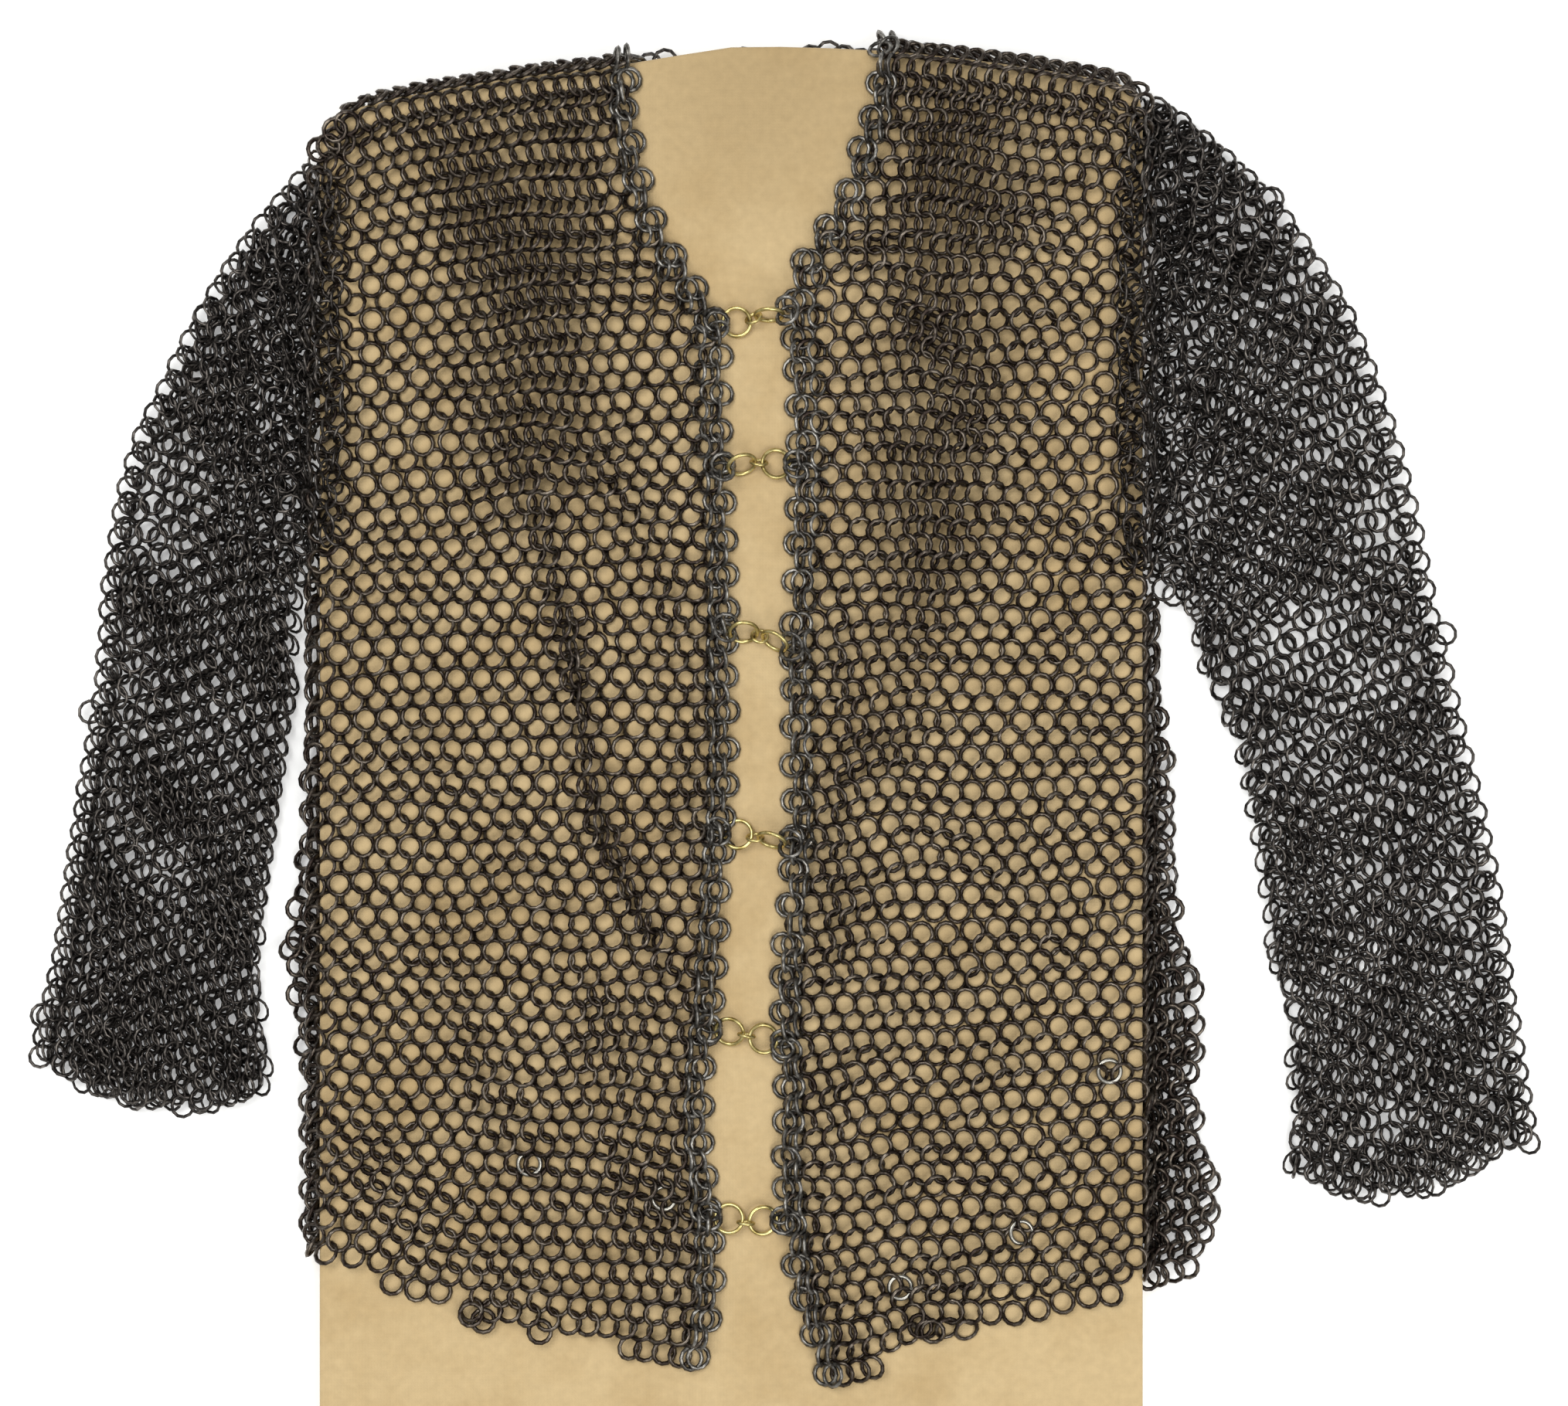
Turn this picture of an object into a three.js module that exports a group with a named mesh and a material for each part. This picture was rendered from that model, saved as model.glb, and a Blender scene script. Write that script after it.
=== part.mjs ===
// A chainmail shirt laid flat on its back, with the linen covered display board that lies inside it.
// Millimetres. X runs to the right as seen from above, Y from the hem to the neck, Z up.
// Right and left in a name are the wearer's own, so the right half lies at negative X.
import * as THREE from 'three';

// Driving sizes
const boardWidth = 480;
const boardThick = 16;
const boardEdge = 1.5;
const boardCorner = 14;
const mailThick = 4.2;
const seam = 0.3;
const armholeLip = 3;
const shoulderPlay = 0.4;
const sleeveSlit = 0.4;
const foldedRound = 3;
const armpitStep = 4.5;
const footRound = 1.6;
const bunchFullness = 1.6;
const bunchHollow = 0.1;
const foldBunch = 0.25;

// Heights of the layers, worked out from the sizes above
const boardBottom = mailThick + seam;
const boardTop = boardBottom + boardThick;
const frontBottom = boardTop + seam;
const frontTop = frontBottom + mailThick;
const halfBoard = boardWidth / 2;
const flatSleeve = 2 * mailThick + sleeveSlit;

// Brass clasp rings and the small link between each two
const claspRing = { radius: 8, wire: 1 };
const claspLink = { radius: 4.5, wire: 0.8 };
const claspPlay = 0.45;
const claspPull = 12;

// Colours as seen in the photograph
const ironMail = { color: 0x2e2a28, roughness: 0.45, metalness: 0.9 };
const linen = { color: 0xcdb182, roughness: 0.95, metalness: 0 };
const brass = { color: 0xc2b06a, roughness: 0.35, metalness: 0.9 };

// Top edge of the board, from side to side, before its two corners are rounded
const boardTopEdge = [
  { x: -240, y: 777 }, { x: -201, y: 789 }, { x: -133, y: 801 }, { x: -55, y: 811 }, { x: 2, y: 820 },
  { x: 31, y: 820 }, { x: 84, y: 818 }, { x: 137, y: 813 }, { x: 204, y: 803 }, { x: 240, y: 796 },
];

// Six clasps. Joint x and height place the link. Roll turns a ring about the line of its clasp,
// and yaw turns it in plan, both in degrees.
const clasps = [
  { name: 'clasp_1', x: 13.1, height: 661, rightRoll: 8, rightYaw: 12, leftRoll: 70, leftYaw: 9 },
  { name: 'clasp_2', x: 16.2, height: 577, rightRoll: 52, rightYaw: 8, leftRoll: -8, leftYaw: -3 },
  { name: 'clasp_3', x: 16.7, height: 476, rightRoll: 45, rightYaw: -14, leftRoll: 58, leftYaw: -18 },
  { name: 'clasp_4', x: 14, height: 359, rightRoll: -10, rightYaw: -10, leftRoll: 60, leftYaw: -8 },
  { name: 'clasp_5', x: 9, height: 244, rightRoll: 22, rightYaw: -12, leftRoll: -16, leftYaw: -12 },
  { name: 'clasp_6', x: 8.6, height: 135, rightRoll: -8, rightYaw: -12, leftRoll: 10, leftYaw: 6 },
];

// Front panels. Opening is the x of the front edge and neckline, reach is how far the mail spreads
// past the side of the board, both at a height above the board's lower edge.
const rightFront = {
  name: 'front_right',
  side: -1,
  armpit: 516,
  opening: [
    { height: 54, x: -18 }, { height: 85, x: -9 }, { height: 130, x: -9 }, { height: 200, x: -15 },
    { height: 262, x: -9 }, { height: 352, x: -2 }, { height: 464, x: 0 }, { height: 599, x: -4 },
    { height: 660, x: -8 }, { height: 690, x: -25 }, { height: 715, x: -40 }, { height: 760, x: -53 },
    { height: 785, x: -58 }, { height: 812, x: -55 },
  ],
  reach: [
    { height: 100, out: 7.5 }, { height: 150, out: 12 }, { height: 250, out: 15 }, { height: 283, out: 22 },
    { height: 330, out: 16 }, { height: 375, out: 11 }, { height: 440, out: 7.5 }, { height: 520, out: 7.5 },
  ],
  hem: [
    { across: 0, y: 54 }, { across: 0.11, y: 60 }, { across: 0.3, y: 69 }, { across: 0.5, y: 78 },
    { across: 0.61, y: 76 }, { across: 0.645, y: 103 }, { across: 0.68, y: 86 }, { across: 0.8, y: 94 },
    { across: 0.92, y: 106 }, { across: 1, y: 118 },
  ],
};
const leftFront = {
  name: 'front_left',
  side: 1,
  armpit: 501,
  opening: [
    { height: 43, x: 54 }, { height: 80, x: 41 }, { height: 130, x: 31 }, { height: 240, x: 28 },
    { height: 277, x: 26 }, { height: 330, x: 32 }, { height: 464, x: 33 }, { height: 600, x: 36 },
    { height: 655, x: 34 }, { height: 690, x: 37 }, { height: 712, x: 51 }, { height: 757, x: 72 },
    { height: 790, x: 82 }, { height: 816, x: 84 },
  ],
  reach: [
    { height: 100, out: 28 }, { height: 140, out: 46 }, { height: 178, out: 39 }, { height: 215, out: 33 },
    { height: 247, out: 38 }, { height: 306, out: 25 }, { height: 351, out: 18 }, { height: 440, out: 12 },
    { height: 505, out: 9 },
  ],
  hem: [
    { across: 0, y: 43 }, { across: 0.07, y: 47 }, { across: 0.2, y: 57 }, { across: 0.33, y: 66 },
    { across: 0.47, y: 68 }, { across: 0.57, y: 75 }, { across: 0.7, y: 78 }, { across: 0.85, y: 87 },
    { across: 0.95, y: 93 }, { across: 1, y: 98 },
  ],
};

// Sleeves, a row for each section. The outer fold runs from the shoulder, the inner one from the
// armpit, both given as distances from the middle of the board. Rise is how high the bunched mail
// of the upper layer stands over two flat layers, and bow is how far a section bulges to the cuff.
const rightSleeve = {
  name: 'sleeve_right',
  side: -1,
  sections: [
    { outerX: 243.3, outerY: 768, innerX: 243.3, innerY: 521, rise: 16.2, bow: 0 },
    { outerX: 247, outerY: 766, innerX: 247.5, innerY: 520, rise: 16, bow: 0 },
    { outerX: 252, outerY: 759, innerX: 249.5, innerY: 517, rise: 11, bow: 0 },
    { outerX: 259, outerY: 750, innerX: 250.5, innerY: 512, rise: 6, bow: 0 },
    { outerX: 267, outerY: 741, innerX: 251, innerY: 507, rise: 10, bow: 0 },
    { outerX: 276, outerY: 730, innerX: 251.5, innerY: 501, rise: 4, bow: 0 },
    { outerX: 284, outerY: 717, innerX: 252, innerY: 495, rise: 7.5, bow: 0 },
    { outerX: 293, outerY: 702, innerX: 252.5, innerY: 488, rise: 2, bow: 0 },
    { outerX: 304, outerY: 686, innerX: 253, innerY: 480, rise: 3.5, bow: 0 },
    { outerX: 323, outerY: 651, innerX: 254, innerY: 462, rise: 0.5, bow: 0 },
    { outerX: 339, outerY: 619, innerX: 255, innerY: 444, rise: 2.5, bow: 0 },
    { outerX: 352, outerY: 592, innerX: 256, innerY: 424, rise: 0, bow: 0 },
    { outerX: 362, outerY: 555, innerX: 258, innerY: 400, rise: 2, bow: 0 },
    { outerX: 370, outerY: 505, innerX: 262, innerY: 368, rise: 0, bow: 0 },
    { outerX: 377, outerY: 446, innerX: 268, innerY: 335, rise: 1.5, bow: 0 },
    { outerX: 384, outerY: 396, innerX: 272, innerY: 306, rise: 0, bow: 2 },
    { outerX: 391, outerY: 342, innerX: 273, innerY: 280, rise: 1, bow: 5 },
    { outerX: 400, outerY: 287, innerX: 274, innerY: 255, rise: 0, bow: 9 },
    { outerX: 411, outerY: 247, innerX: 274, innerY: 238, rise: 1, bow: 14 },
    { outerX: 402, outerY: 219, innerX: 273, innerY: 217, rise: 0, bow: 19 },
  ],
};
const leftSleeve = {
  name: 'sleeve_left',
  side: 1,
  sections: [
    { outerX: 243.3, outerY: 786, innerX: 243.3, innerY: 507, rise: 16.2, bow: 0 },
    { outerX: 248, outerY: 784, innerX: 248, innerY: 506, rise: 16, bow: 0 },
    { outerX: 254, outerY: 780, innerX: 252, innerY: 504, rise: 11, bow: 0 },
    { outerX: 261, outerY: 774, innerX: 255, innerY: 501, rise: 6, bow: 0 },
    { outerX: 270, outerY: 767, innerX: 259, innerY: 497, rise: 10, bow: 0 },
    { outerX: 280, outerY: 760, innerX: 263, innerY: 492, rise: 4, bow: 0 },
    { outerX: 291, outerY: 751, innerX: 267, innerY: 486, rise: 7.5, bow: 0 },
    { outerX: 303, outerY: 741, innerX: 271, innerY: 480, rise: 2, bow: 0 },
    { outerX: 318, outerY: 729, innerX: 274, innerY: 471, rise: 3.5, bow: 0 },
    { outerX: 340, outerY: 703, innerX: 277, innerY: 459, rise: 0.5, bow: 0 },
    { outerX: 362, outerY: 671, innerX: 282, innerY: 446, rise: 2.5, bow: 0 },
    { outerX: 376, outerY: 639, innerX: 288, innerY: 430, rise: 0, bow: 0 },
    { outerX: 390, outerY: 596, innerX: 296, innerY: 412, rise: 2, bow: 0 },
    { outerX: 405, outerY: 542, innerX: 302, innerY: 392, rise: 0, bow: 0 },
    { outerX: 418, outerY: 487, innerX: 306, innerY: 366, rise: 1.5, bow: 0 },
    { outerX: 429, outerY: 438, innerX: 310, innerY: 338, rise: 0, bow: 0 },
    { outerX: 441, outerY: 378, innerX: 315, innerY: 306, rise: 1, bow: 2 },
    { outerX: 451, outerY: 325, innerX: 319, innerY: 280, rise: 0, bow: 4 },
    { outerX: 459, outerY: 268, innerX: 326, innerY: 248, rise: 1, bow: 8 },
    { outerX: 470, outerY: 218, innerX: 329, innerY: 212, rise: 0, bow: 12 },
    { outerX: 460, outerY: 170, innerX: 326, innerY: 168, rise: 0, bow: 18 },
  ],
};

// Gathers that stand up from the front panels, as straight ridges
const gathers = [
  { x0: -115, y0: 545, x1: -60, y1: 340, height: 2.6, width: 12 },
  { x0: -60, y0: 340, x1: -42, y1: 285, height: 2, width: 10 },
  { x0: 150, y0: 700, x1: 105, y1: 420, height: 1.8, width: 14 },
  { x0: 70, y0: 560, x1: 62, y1: 330, height: 1.5, width: 10 },
];

// A smooth curve through the rows of a table, read at a value of its key column
function follow(rows, key, column, at) {
  const last = rows.length - 1;
  if (at <= rows[0][key]) return rows[0][column];
  if (at >= rows[last][key]) return rows[last][column];
  const i = rows.findIndex((row, n) => n < last && at < rows[n + 1][key]);
  const slope = (n) => {
    const a = rows[Math.max(n - 1, 0)];
    const b = rows[Math.min(n + 1, last)];
    return (b[column] - a[column]) / (b[key] - a[key]);
  };
  const span = rows[i + 1][key] - rows[i][key];
  const u = (at - rows[i][key]) / span;
  const u2 = u * u;
  const u3 = u2 * u;
  return (2 * u3 - 3 * u2 + 1) * rows[i][column] + (u3 - 2 * u2 + u) * span * slope(i)
    + (3 * u2 - 2 * u3) * rows[i + 1][column] + (u3 - u2) * span * slope(i + 1);
}

function mix(a, b, t) {
  return a + (b - a) * t;
}

// Y of the line over which the mail falls at the shoulders
function shoulderY(x) {
  return follow(boardTopEdge, 'x', 'y', x) + shoulderPlay;
}

// Y of the board's top edge at an x, with the two corners rounded
function boardEdgeY(x) {
  const inside = Math.min(Math.abs(x), halfBoard);
  const intoCorner = Math.max(inside - (halfBoard - boardCorner), 0);
  const drop = boardCorner - Math.sqrt(boardCorner ** 2 - intoCorner ** 2);
  return follow(boardTopEdge, 'x', 'y', x) - drop;
}

function evenly(from, to, steps) {
  return Array.from({ length: steps + 1 }, (_, i) => mix(from, to, i / steps));
}

// X values across the board that crowd together at its rounded corners
function acrossBoard(from, to, steps) {
  return evenly(-1, 1, steps).map((u) => mix(from, to, 0.5 + 0.5 * Math.sin(u * Math.PI / 2)));
}

function named(name, geometry, finish) {
  const mesh = new THREE.Mesh(geometry, new THREE.MeshStandardMaterial(finish));
  mesh.name = name;
  return mesh;
}

// A closed solid from a list of points and a list of triangles
function solidFrom(points, triangles) {
  const geometry = new THREE.BufferGeometry();
  geometry.setAttribute('position', new THREE.Float32BufferAttribute(points.flat(), 3));
  geometry.setIndex(triangles);
  geometry.computeVertexNormals();
  return geometry;
}

// The display board, with its lower edge at y 0
function board() {
  const outline = new THREE.Shape();
  outline.moveTo(-halfBoard, 0);
  outline.lineTo(halfBoard, 0);
  for (const x of acrossBoard(halfBoard, -halfBoard, 26)) outline.lineTo(x, boardEdgeY(x));
  outline.closePath();
  const geometry = new THREE.ExtrudeGeometry(outline, {
    depth: boardThick - 2 * boardEdge,
    bevelEnabled: true,
    bevelThickness: boardEdge,
    bevelSize: boardEdge,
    bevelOffset: -boardEdge,
    bevelSegments: 2,
  });
  geometry.translate(0, 0, boardBottom + boardEdge);
  return named('board', geometry, linen);
}

// Path of a front panel over an edge of the board and down it. Inner is the face towards the
// board, outer the one that shows. Out is measured from the board's edge.
function overEdge() {
  const innerRound = boardEdge + seam;
  const outerRound = innerRound + mailThick;
  const centreZ = boardTop - boardEdge;
  return [90, 45, 0].map((degrees) => {
    const angle = THREE.MathUtils.degToRad(degrees);
    return {
      inner: { out: innerRound * Math.cos(angle) - boardEdge, z: centreZ + innerRound * Math.sin(angle) },
      outer: { out: outerRound * Math.cos(angle) - boardEdge, z: centreZ + outerRound * Math.sin(angle) },
    };
  });
}

// The same path carried on to the floor and out over the margin of the back
function sidePath(reach) {
  const low = boardBottom;
  const high = low + mailThick;
  return [
    ...overEdge(),
    { inner: { out: seam, z: low + footRound / 2 }, outer: { out: seam + mailThick, z: high + footRound } },
    { inner: { out: seam + footRound / 2, z: low }, outer: { out: seam + mailThick + footRound, z: high + seam } },
    { inner: { out: reach, z: low }, outer: { out: reach - footRound / 2, z: high } },
  ];
}

// Above the armpit the panel ends in a flat lip that the sleeve meets
function lipPath(steps) {
  return evenly(-boardEdge, armholeLip, steps).map((out) => ({
    inner: { out, z: frontBottom },
    outer: { out, z: frontTop },
  }));
}

function shoulderPath() {
  const low = boardBottom;
  return [
    ...overEdge().slice(1),
    { inner: { out: seam, z: low }, outer: { out: seam + mailThick, z: low } },
  ];
}

// Height that a gather adds to the mail at a point
function gatherAt(x, y) {
  let most = 0;
  for (const fold of gathers) {
    const line = new THREE.Line3(new THREE.Vector3(fold.x0, fold.y0, 0), new THREE.Vector3(fold.x1, fold.y1, 0));
    const nearest = line.closestPointToPoint(new THREE.Vector3(x, y, 0), true, new THREE.Vector3());
    const away = nearest.distanceTo(new THREE.Vector3(x, y, 0)) / fold.width;
    most = Math.max(most, fold.height * Math.exp(-away * away));
  }
  return most;
}

// Pitch at which a ring, rolled about its clasp's line and held at its joint, just rests on the board
function restingPitch(jointZ, arm, roll) {
  let pitch = 0;
  for (let step = 0; step < 30; step += 1) {
    const tilt = Math.sqrt(1 - (Math.cos(pitch) * Math.cos(roll)) ** 2);
    const lowest = jointZ + arm * Math.sin(pitch) - claspRing.radius * tilt - claspRing.wire;
    pitch += 0.4 * (frontBottom - lowest) / arm;
  }
  return pitch;
}

// One clasp worked out in space: two rings and the link that joins them
function claspPieces(clasp) {
  const grip = claspLink.radius - claspLink.wire - claspPlay - claspRing.wire;
  const linkRoll = (clasp.rightRoll + clasp.leftRoll) / 2;
  const linkHalf = claspLink.radius * Math.cos(THREE.MathUtils.degToRad(linkRoll)) + claspLink.wire;
  const joint = new THREE.Vector3(clasp.x, clasp.height, frontBottom + linkHalf);
  const ring = (side, rollDegrees, yawDegrees) => {
    const roll = THREE.MathUtils.degToRad(rollDegrees);
    const yaw = THREE.MathUtils.degToRad(yawDegrees);
    const arm = grip + claspRing.radius;
    const pitch = restingPitch(joint.z, arm, roll);
    const turn = new THREE.Quaternion()
      .setFromAxisAngle(new THREE.Vector3(0, 0, 1), yaw)
      .multiply(new THREE.Quaternion().setFromAxisAngle(new THREE.Vector3(0, 1, 0), -side * pitch))
      .multiply(new THREE.Quaternion().setFromAxisAngle(new THREE.Vector3(1, 0, 0), roll));
    const centre = joint.clone().add(new THREE.Vector3(side * arm, 0, 0).applyQuaternion(turn));
    return { side, turn, centre };
  };
  const right = ring(-1, clasp.rightRoll, clasp.rightYaw);
  const left = ring(1, clasp.leftRoll, clasp.leftYaw);
  // The link stands square to the two wires that it holds
  const wires = [right, left].map((held) => new THREE.Vector3(0, 1, 0).applyQuaternion(held.turn));
  const axis = wires[0].add(wires[1]).normalize();
  const linkTurn = new THREE.Quaternion().setFromUnitVectors(new THREE.Vector3(0, 0, 1), axis);
  return { link: { centre: joint, turn: linkTurn }, right, left };
}

// Where a clasp ring comes closest to the mail that it hooks into, as an x and a height
function claspHold(ring) {
  let hold = { x: 0, y: 0, out: -Infinity };
  for (const angle of evenly(0, 2 * Math.PI, 72)) {
    const point = new THREE.Vector3(Math.cos(angle), Math.sin(angle), 0)
      .multiplyScalar(claspRing.radius).applyQuaternion(ring.turn).add(ring.centre);
    const out = ring.side * point.x;
    const beside = point.z - claspRing.wire < frontTop + seam;
    if (beside && out > hold.out) hold = { x: point.x + ring.side * claspRing.wire, y: point.y, out };
  }
  return hold;
}

// X of the front edge at a height: the table's curve, drawn up to the ring of each clasp
function openingX(panel, height) {
  let x = follow(panel.opening, 'height', 'x', height);
  for (const clasp of clasps) {
    const hold = claspHold(panel.side < 0 ? claspPieces(clasp).right : claspPieces(clasp).left);
    const wanted = hold.x + panel.side * seam - follow(panel.opening, 'height', 'x', hold.y);
    x += wanted * Math.exp(-(((height - hold.y) / claspPull) ** 2));
  }
  return x;
}

// Heights at which the rows of a front panel start, closer together beside each clasp
function rowHeights(panel) {
  const low = panel.opening[0].height;
  const high = shoulderY(panel.opening.at(-1).x) - boardEdge;
  const holds = clasps.map((clasp) => {
    const pieces = claspPieces(clasp);
    return claspHold(panel.side < 0 ? pieces.right : pieces.left).y;
  });
  const besideClasp = claspRing.radius + claspRing.wire;
  const heights = holds.flatMap((y) => [y - besideClasp, y, y + besideClasp]);
  // The row at the armpit turns from the fall over the side to the lip within a few millimetres
  const sideLow = panel.hem.at(-1).y;
  const sideHigh = shoulderY(panel.side * (halfBoard - boardEdge)) - boardEdge;
  for (const y of [panel.armpit - armpitStep, panel.armpit]) {
    const height = mix(low, high, (y - sideLow) / (sideHigh - sideLow));
    if (heights.every((other) => Math.abs(other - height) > 0.5)) heights.push(height);
  }
  for (const y of evenly(low, high, 26)) {
    if (heights.every((other) => Math.abs(other - y) > 1.5 * besideClasp)) heights.push(y);
  }
  heights.push(low, high);
  return heights.sort((a, b) => a - b);
}

// A front panel: a wall that lies on the board, falls over its side and over its top edge, and
// ends face to face with the back
function frontPanel(panel) {
  const across = [...new Set([0, 0.03, 0.2, 0.4, 0.8, 1, ...panel.hem.map((row) => row.across)])]
    .filter((s) => s === 0 || s === 1 || s > 0.02)
    .sort((a, b) => a - b);
  const sideX = panel.side * (halfBoard - boardEdge);
  const heights = rowHeights(panel);
  const low = heights[0];
  const high = heights.at(-1);
  const neckX = openingX(panel, high);
  const inner = [];
  const outer = [];
  const addRow = (startX, t, fall) => {
    const innerRow = [];
    const outerRow = [];
    for (const s of across) {
      const x = mix(startX, sideX, s);
      const shoulder = shoulderY(mix(neckX, sideX, s));
      const y = mix(follow(panel.hem, 'across', 'y', s), shoulder - boardEdge, t);
      const innerY = fall ? shoulder + fall.inner.out : y;
      const outerY = fall ? shoulder + fall.outer.out : y;
      innerRow.push([x, innerY, fall ? fall.inner.z : frontBottom]);
      outerRow.push([x, outerY, fall ? fall.outer.z : frontTop + gatherAt(x, y)]);
    }
    const last = innerRow[innerRow.length - 1];
    const lastOuter = outerRow[outerRow.length - 1];
    const falls = last[1] < panel.armpit - armpitStep / 2;
    const reach = follow(panel.reach, 'height', 'out', last[1]);
    const path = falls ? sidePath(reach) : lipPath(5);
    for (const step of path.slice(1)) {
      const innerZ = falls ? step.inner.z : last[2];
      const outerZ = falls ? step.outer.z : lastOuter[2];
      innerRow.push([panel.side * (halfBoard + step.inner.out), last[1], innerZ]);
      outerRow.push([panel.side * (halfBoard + step.outer.out), lastOuter[1], outerZ]);
    }
    inner.push(innerRow);
    outer.push(outerRow);
  };
  for (const height of heights) addRow(openingX(panel, height), (height - low) / (high - low), null);
  for (const fall of shoulderPath()) addRow(neckX, 1, fall);
  return named(panel.name, wallBetween(inner, outer, panel.side > 0), ironMail);
}

// A closed wall between two grids of points that match row by row
function wallBetween(inner, outer, flip) {
  const rows = inner.length;
  const columns = inner[0].length;
  const points = [...inner.flat(), ...outer.flat()];
  const triangles = [];
  const at = (layer, row, column) => layer * rows * columns + row * columns + column;
  const quad = (a, b, c, d) => (flip ? triangles.push(a, b, c, a, c, d) : triangles.push(a, c, b, a, d, c));
  for (let row = 0; row < rows - 1; row += 1) {
    for (let column = 0; column < columns - 1; column += 1) {
      quad(at(1, row, column), at(1, row, column + 1), at(1, row + 1, column + 1), at(1, row + 1, column));
      quad(at(0, row, column), at(0, row + 1, column), at(0, row + 1, column + 1), at(0, row, column + 1));
    }
    const far = columns - 1;
    quad(at(1, row, 0), at(1, row + 1, 0), at(0, row + 1, 0), at(0, row, 0));
    quad(at(1, row, far), at(0, row, far), at(0, row + 1, far), at(1, row + 1, far));
  }
  const far = rows - 1;
  for (let column = 0; column < columns - 1; column += 1) {
    quad(at(1, 0, column), at(0, 0, column), at(0, 0, column + 1), at(1, 0, column + 1));
    quad(at(1, far, column), at(1, far, column + 1), at(0, far, column + 1), at(0, far, column));
  }
  return solidFrom(points, triangles);
}

// The back: one flat layer under the board, with the body's whole outline
function back() {
  const outline = new THREE.Shape();
  const shoulderOut = seam + mailThick;
  const hemMiddle = 66;
  const hemRise = 48;
  const edge = halfBoard + armholeLip;
  const sidePoint = (panel, height) => panel.side * (halfBoard + follow(panel.reach, 'height', 'out', height));
  const sideHeights = (panel, from) => evenly(from, panel.armpit - armpitStep, 14);
  const rightStart = rightFront.hem[rightFront.hem.length - 1].y;
  const leftStart = leftFront.hem[leftFront.hem.length - 1].y;
  outline.moveTo(sidePoint(rightFront, rightStart), rightStart);
  const hemHalf = 0.96 * halfBoard;
  for (const x of evenly(-hemHalf, hemHalf, 12)) {
    outline.lineTo(x, hemMiddle + hemRise * (x / halfBoard) ** 4);
  }
  for (const y of sideHeights(leftFront, leftStart)) outline.lineTo(sidePoint(leftFront, y), y);
  outline.lineTo(edge, leftFront.armpit);
  const neck = { from: rightFront.opening.at(-1).x, to: leftFront.opening.at(-1).x };
  for (const x of acrossBoard(edge, neck.to, 14)) outline.lineTo(x, shoulderY(x) + shoulderOut);
  for (const x of evenly(neck.to - 1, neck.from + 1, 10)) outline.lineTo(x, boardEdgeY(x) + seam);
  for (const x of acrossBoard(neck.from, -edge, 14)) outline.lineTo(x, shoulderY(x) + shoulderOut);
  outline.lineTo(-edge, rightFront.armpit);
  for (const y of sideHeights(rightFront, rightStart).reverse().slice(0, -1)) {
    outline.lineTo(sidePoint(rightFront, y), y);
  }
  outline.closePath();
  return named('back', new THREE.ExtrudeGeometry(outline, { depth: mailThick, bevelEnabled: false }), ironMail);
}

// A sleeve: a flattened tube through its sections, open at the armhole and at the cuff
function sleeve(part) {
  const topSteps = 11;
  const outer = [];
  const inner = [];
  part.sections.forEach((section, index) => {
    const from = new THREE.Vector2(part.side * section.outerX, section.outerY);
    const to = new THREE.Vector2(part.side * section.innerX, section.innerY);
    const along = to.clone().sub(from);
    const length = along.length();
    along.normalize();
    const toCuff = new THREE.Vector2(-part.side * along.y, part.side * along.x);
    const atArmhole = index === 0;
    const place = (distance, z) => {
      const bulge = section.bow * Math.sin(Math.PI * distance / length);
      const point = from.clone().addScaledVector(along, distance).addScaledVector(toCuff, bulge);
      return [point.x, point.y, z];
    };
    // The bunch is low at both folds, apart from the armhole, where it meets the lip all along
    const riseAt = (distance) => {
      const middle = Math.min(1, bunchFullness * Math.sin(Math.PI * distance / length));
      return section.rise * (atArmhole ? 1 : middle);
    };
    const outerInset = foldedRound;
    const innerInset = mailThick + sleeveSlit;
    const hollowInset = innerInset + foldedRound / 2;
    const slitTop = (distance) => mailThick + sleeveSlit + riseAt(distance) * bunchHollow;
    const innerTop = (distance) => (atArmhole ? frontBottom : slitTop(distance));
    const edgeHeight = atArmhole ? frontTop : flatSleeve + section.rise * foldBunch;
    const top = evenly(0, 1, topSteps);
    const bottom = evenly(1, 0, 3);
    outer.push([
      place(0, edgeHeight / 2),
      ...top.map((v) => mix(outerInset, length - outerInset, v)).map((d) => place(d, flatSleeve + riseAt(d))),
      place(length, edgeHeight / 2),
      ...bottom.map((v) => place(mix(outerInset, length - outerInset, v), 0)),
    ]);
    inner.push([
      place(innerInset, (mailThick + innerTop(innerInset)) / 2),
      ...top.map((v) => mix(hollowInset, length - hollowInset, v)).map((d) => place(d, innerTop(d))),
      place(length - innerInset, (mailThick + innerTop(length - innerInset)) / 2),
      ...bottom.map((v) => place(mix(hollowInset, length - hollowInset, v), mailThick)),
    ]);
  });
  // The hollow closes to a slit as soon as it has left the board, well before the outer face turns
  const slitStart = 0.5;
  inner[1] = inner[1].map((point) => [part.side * (halfBoard + armholeLip + seam + slitStart), point[1], point[2]]);
  return named(part.name, tubeBetween(inner, outer, part.side > 0), ironMail);
}

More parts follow.
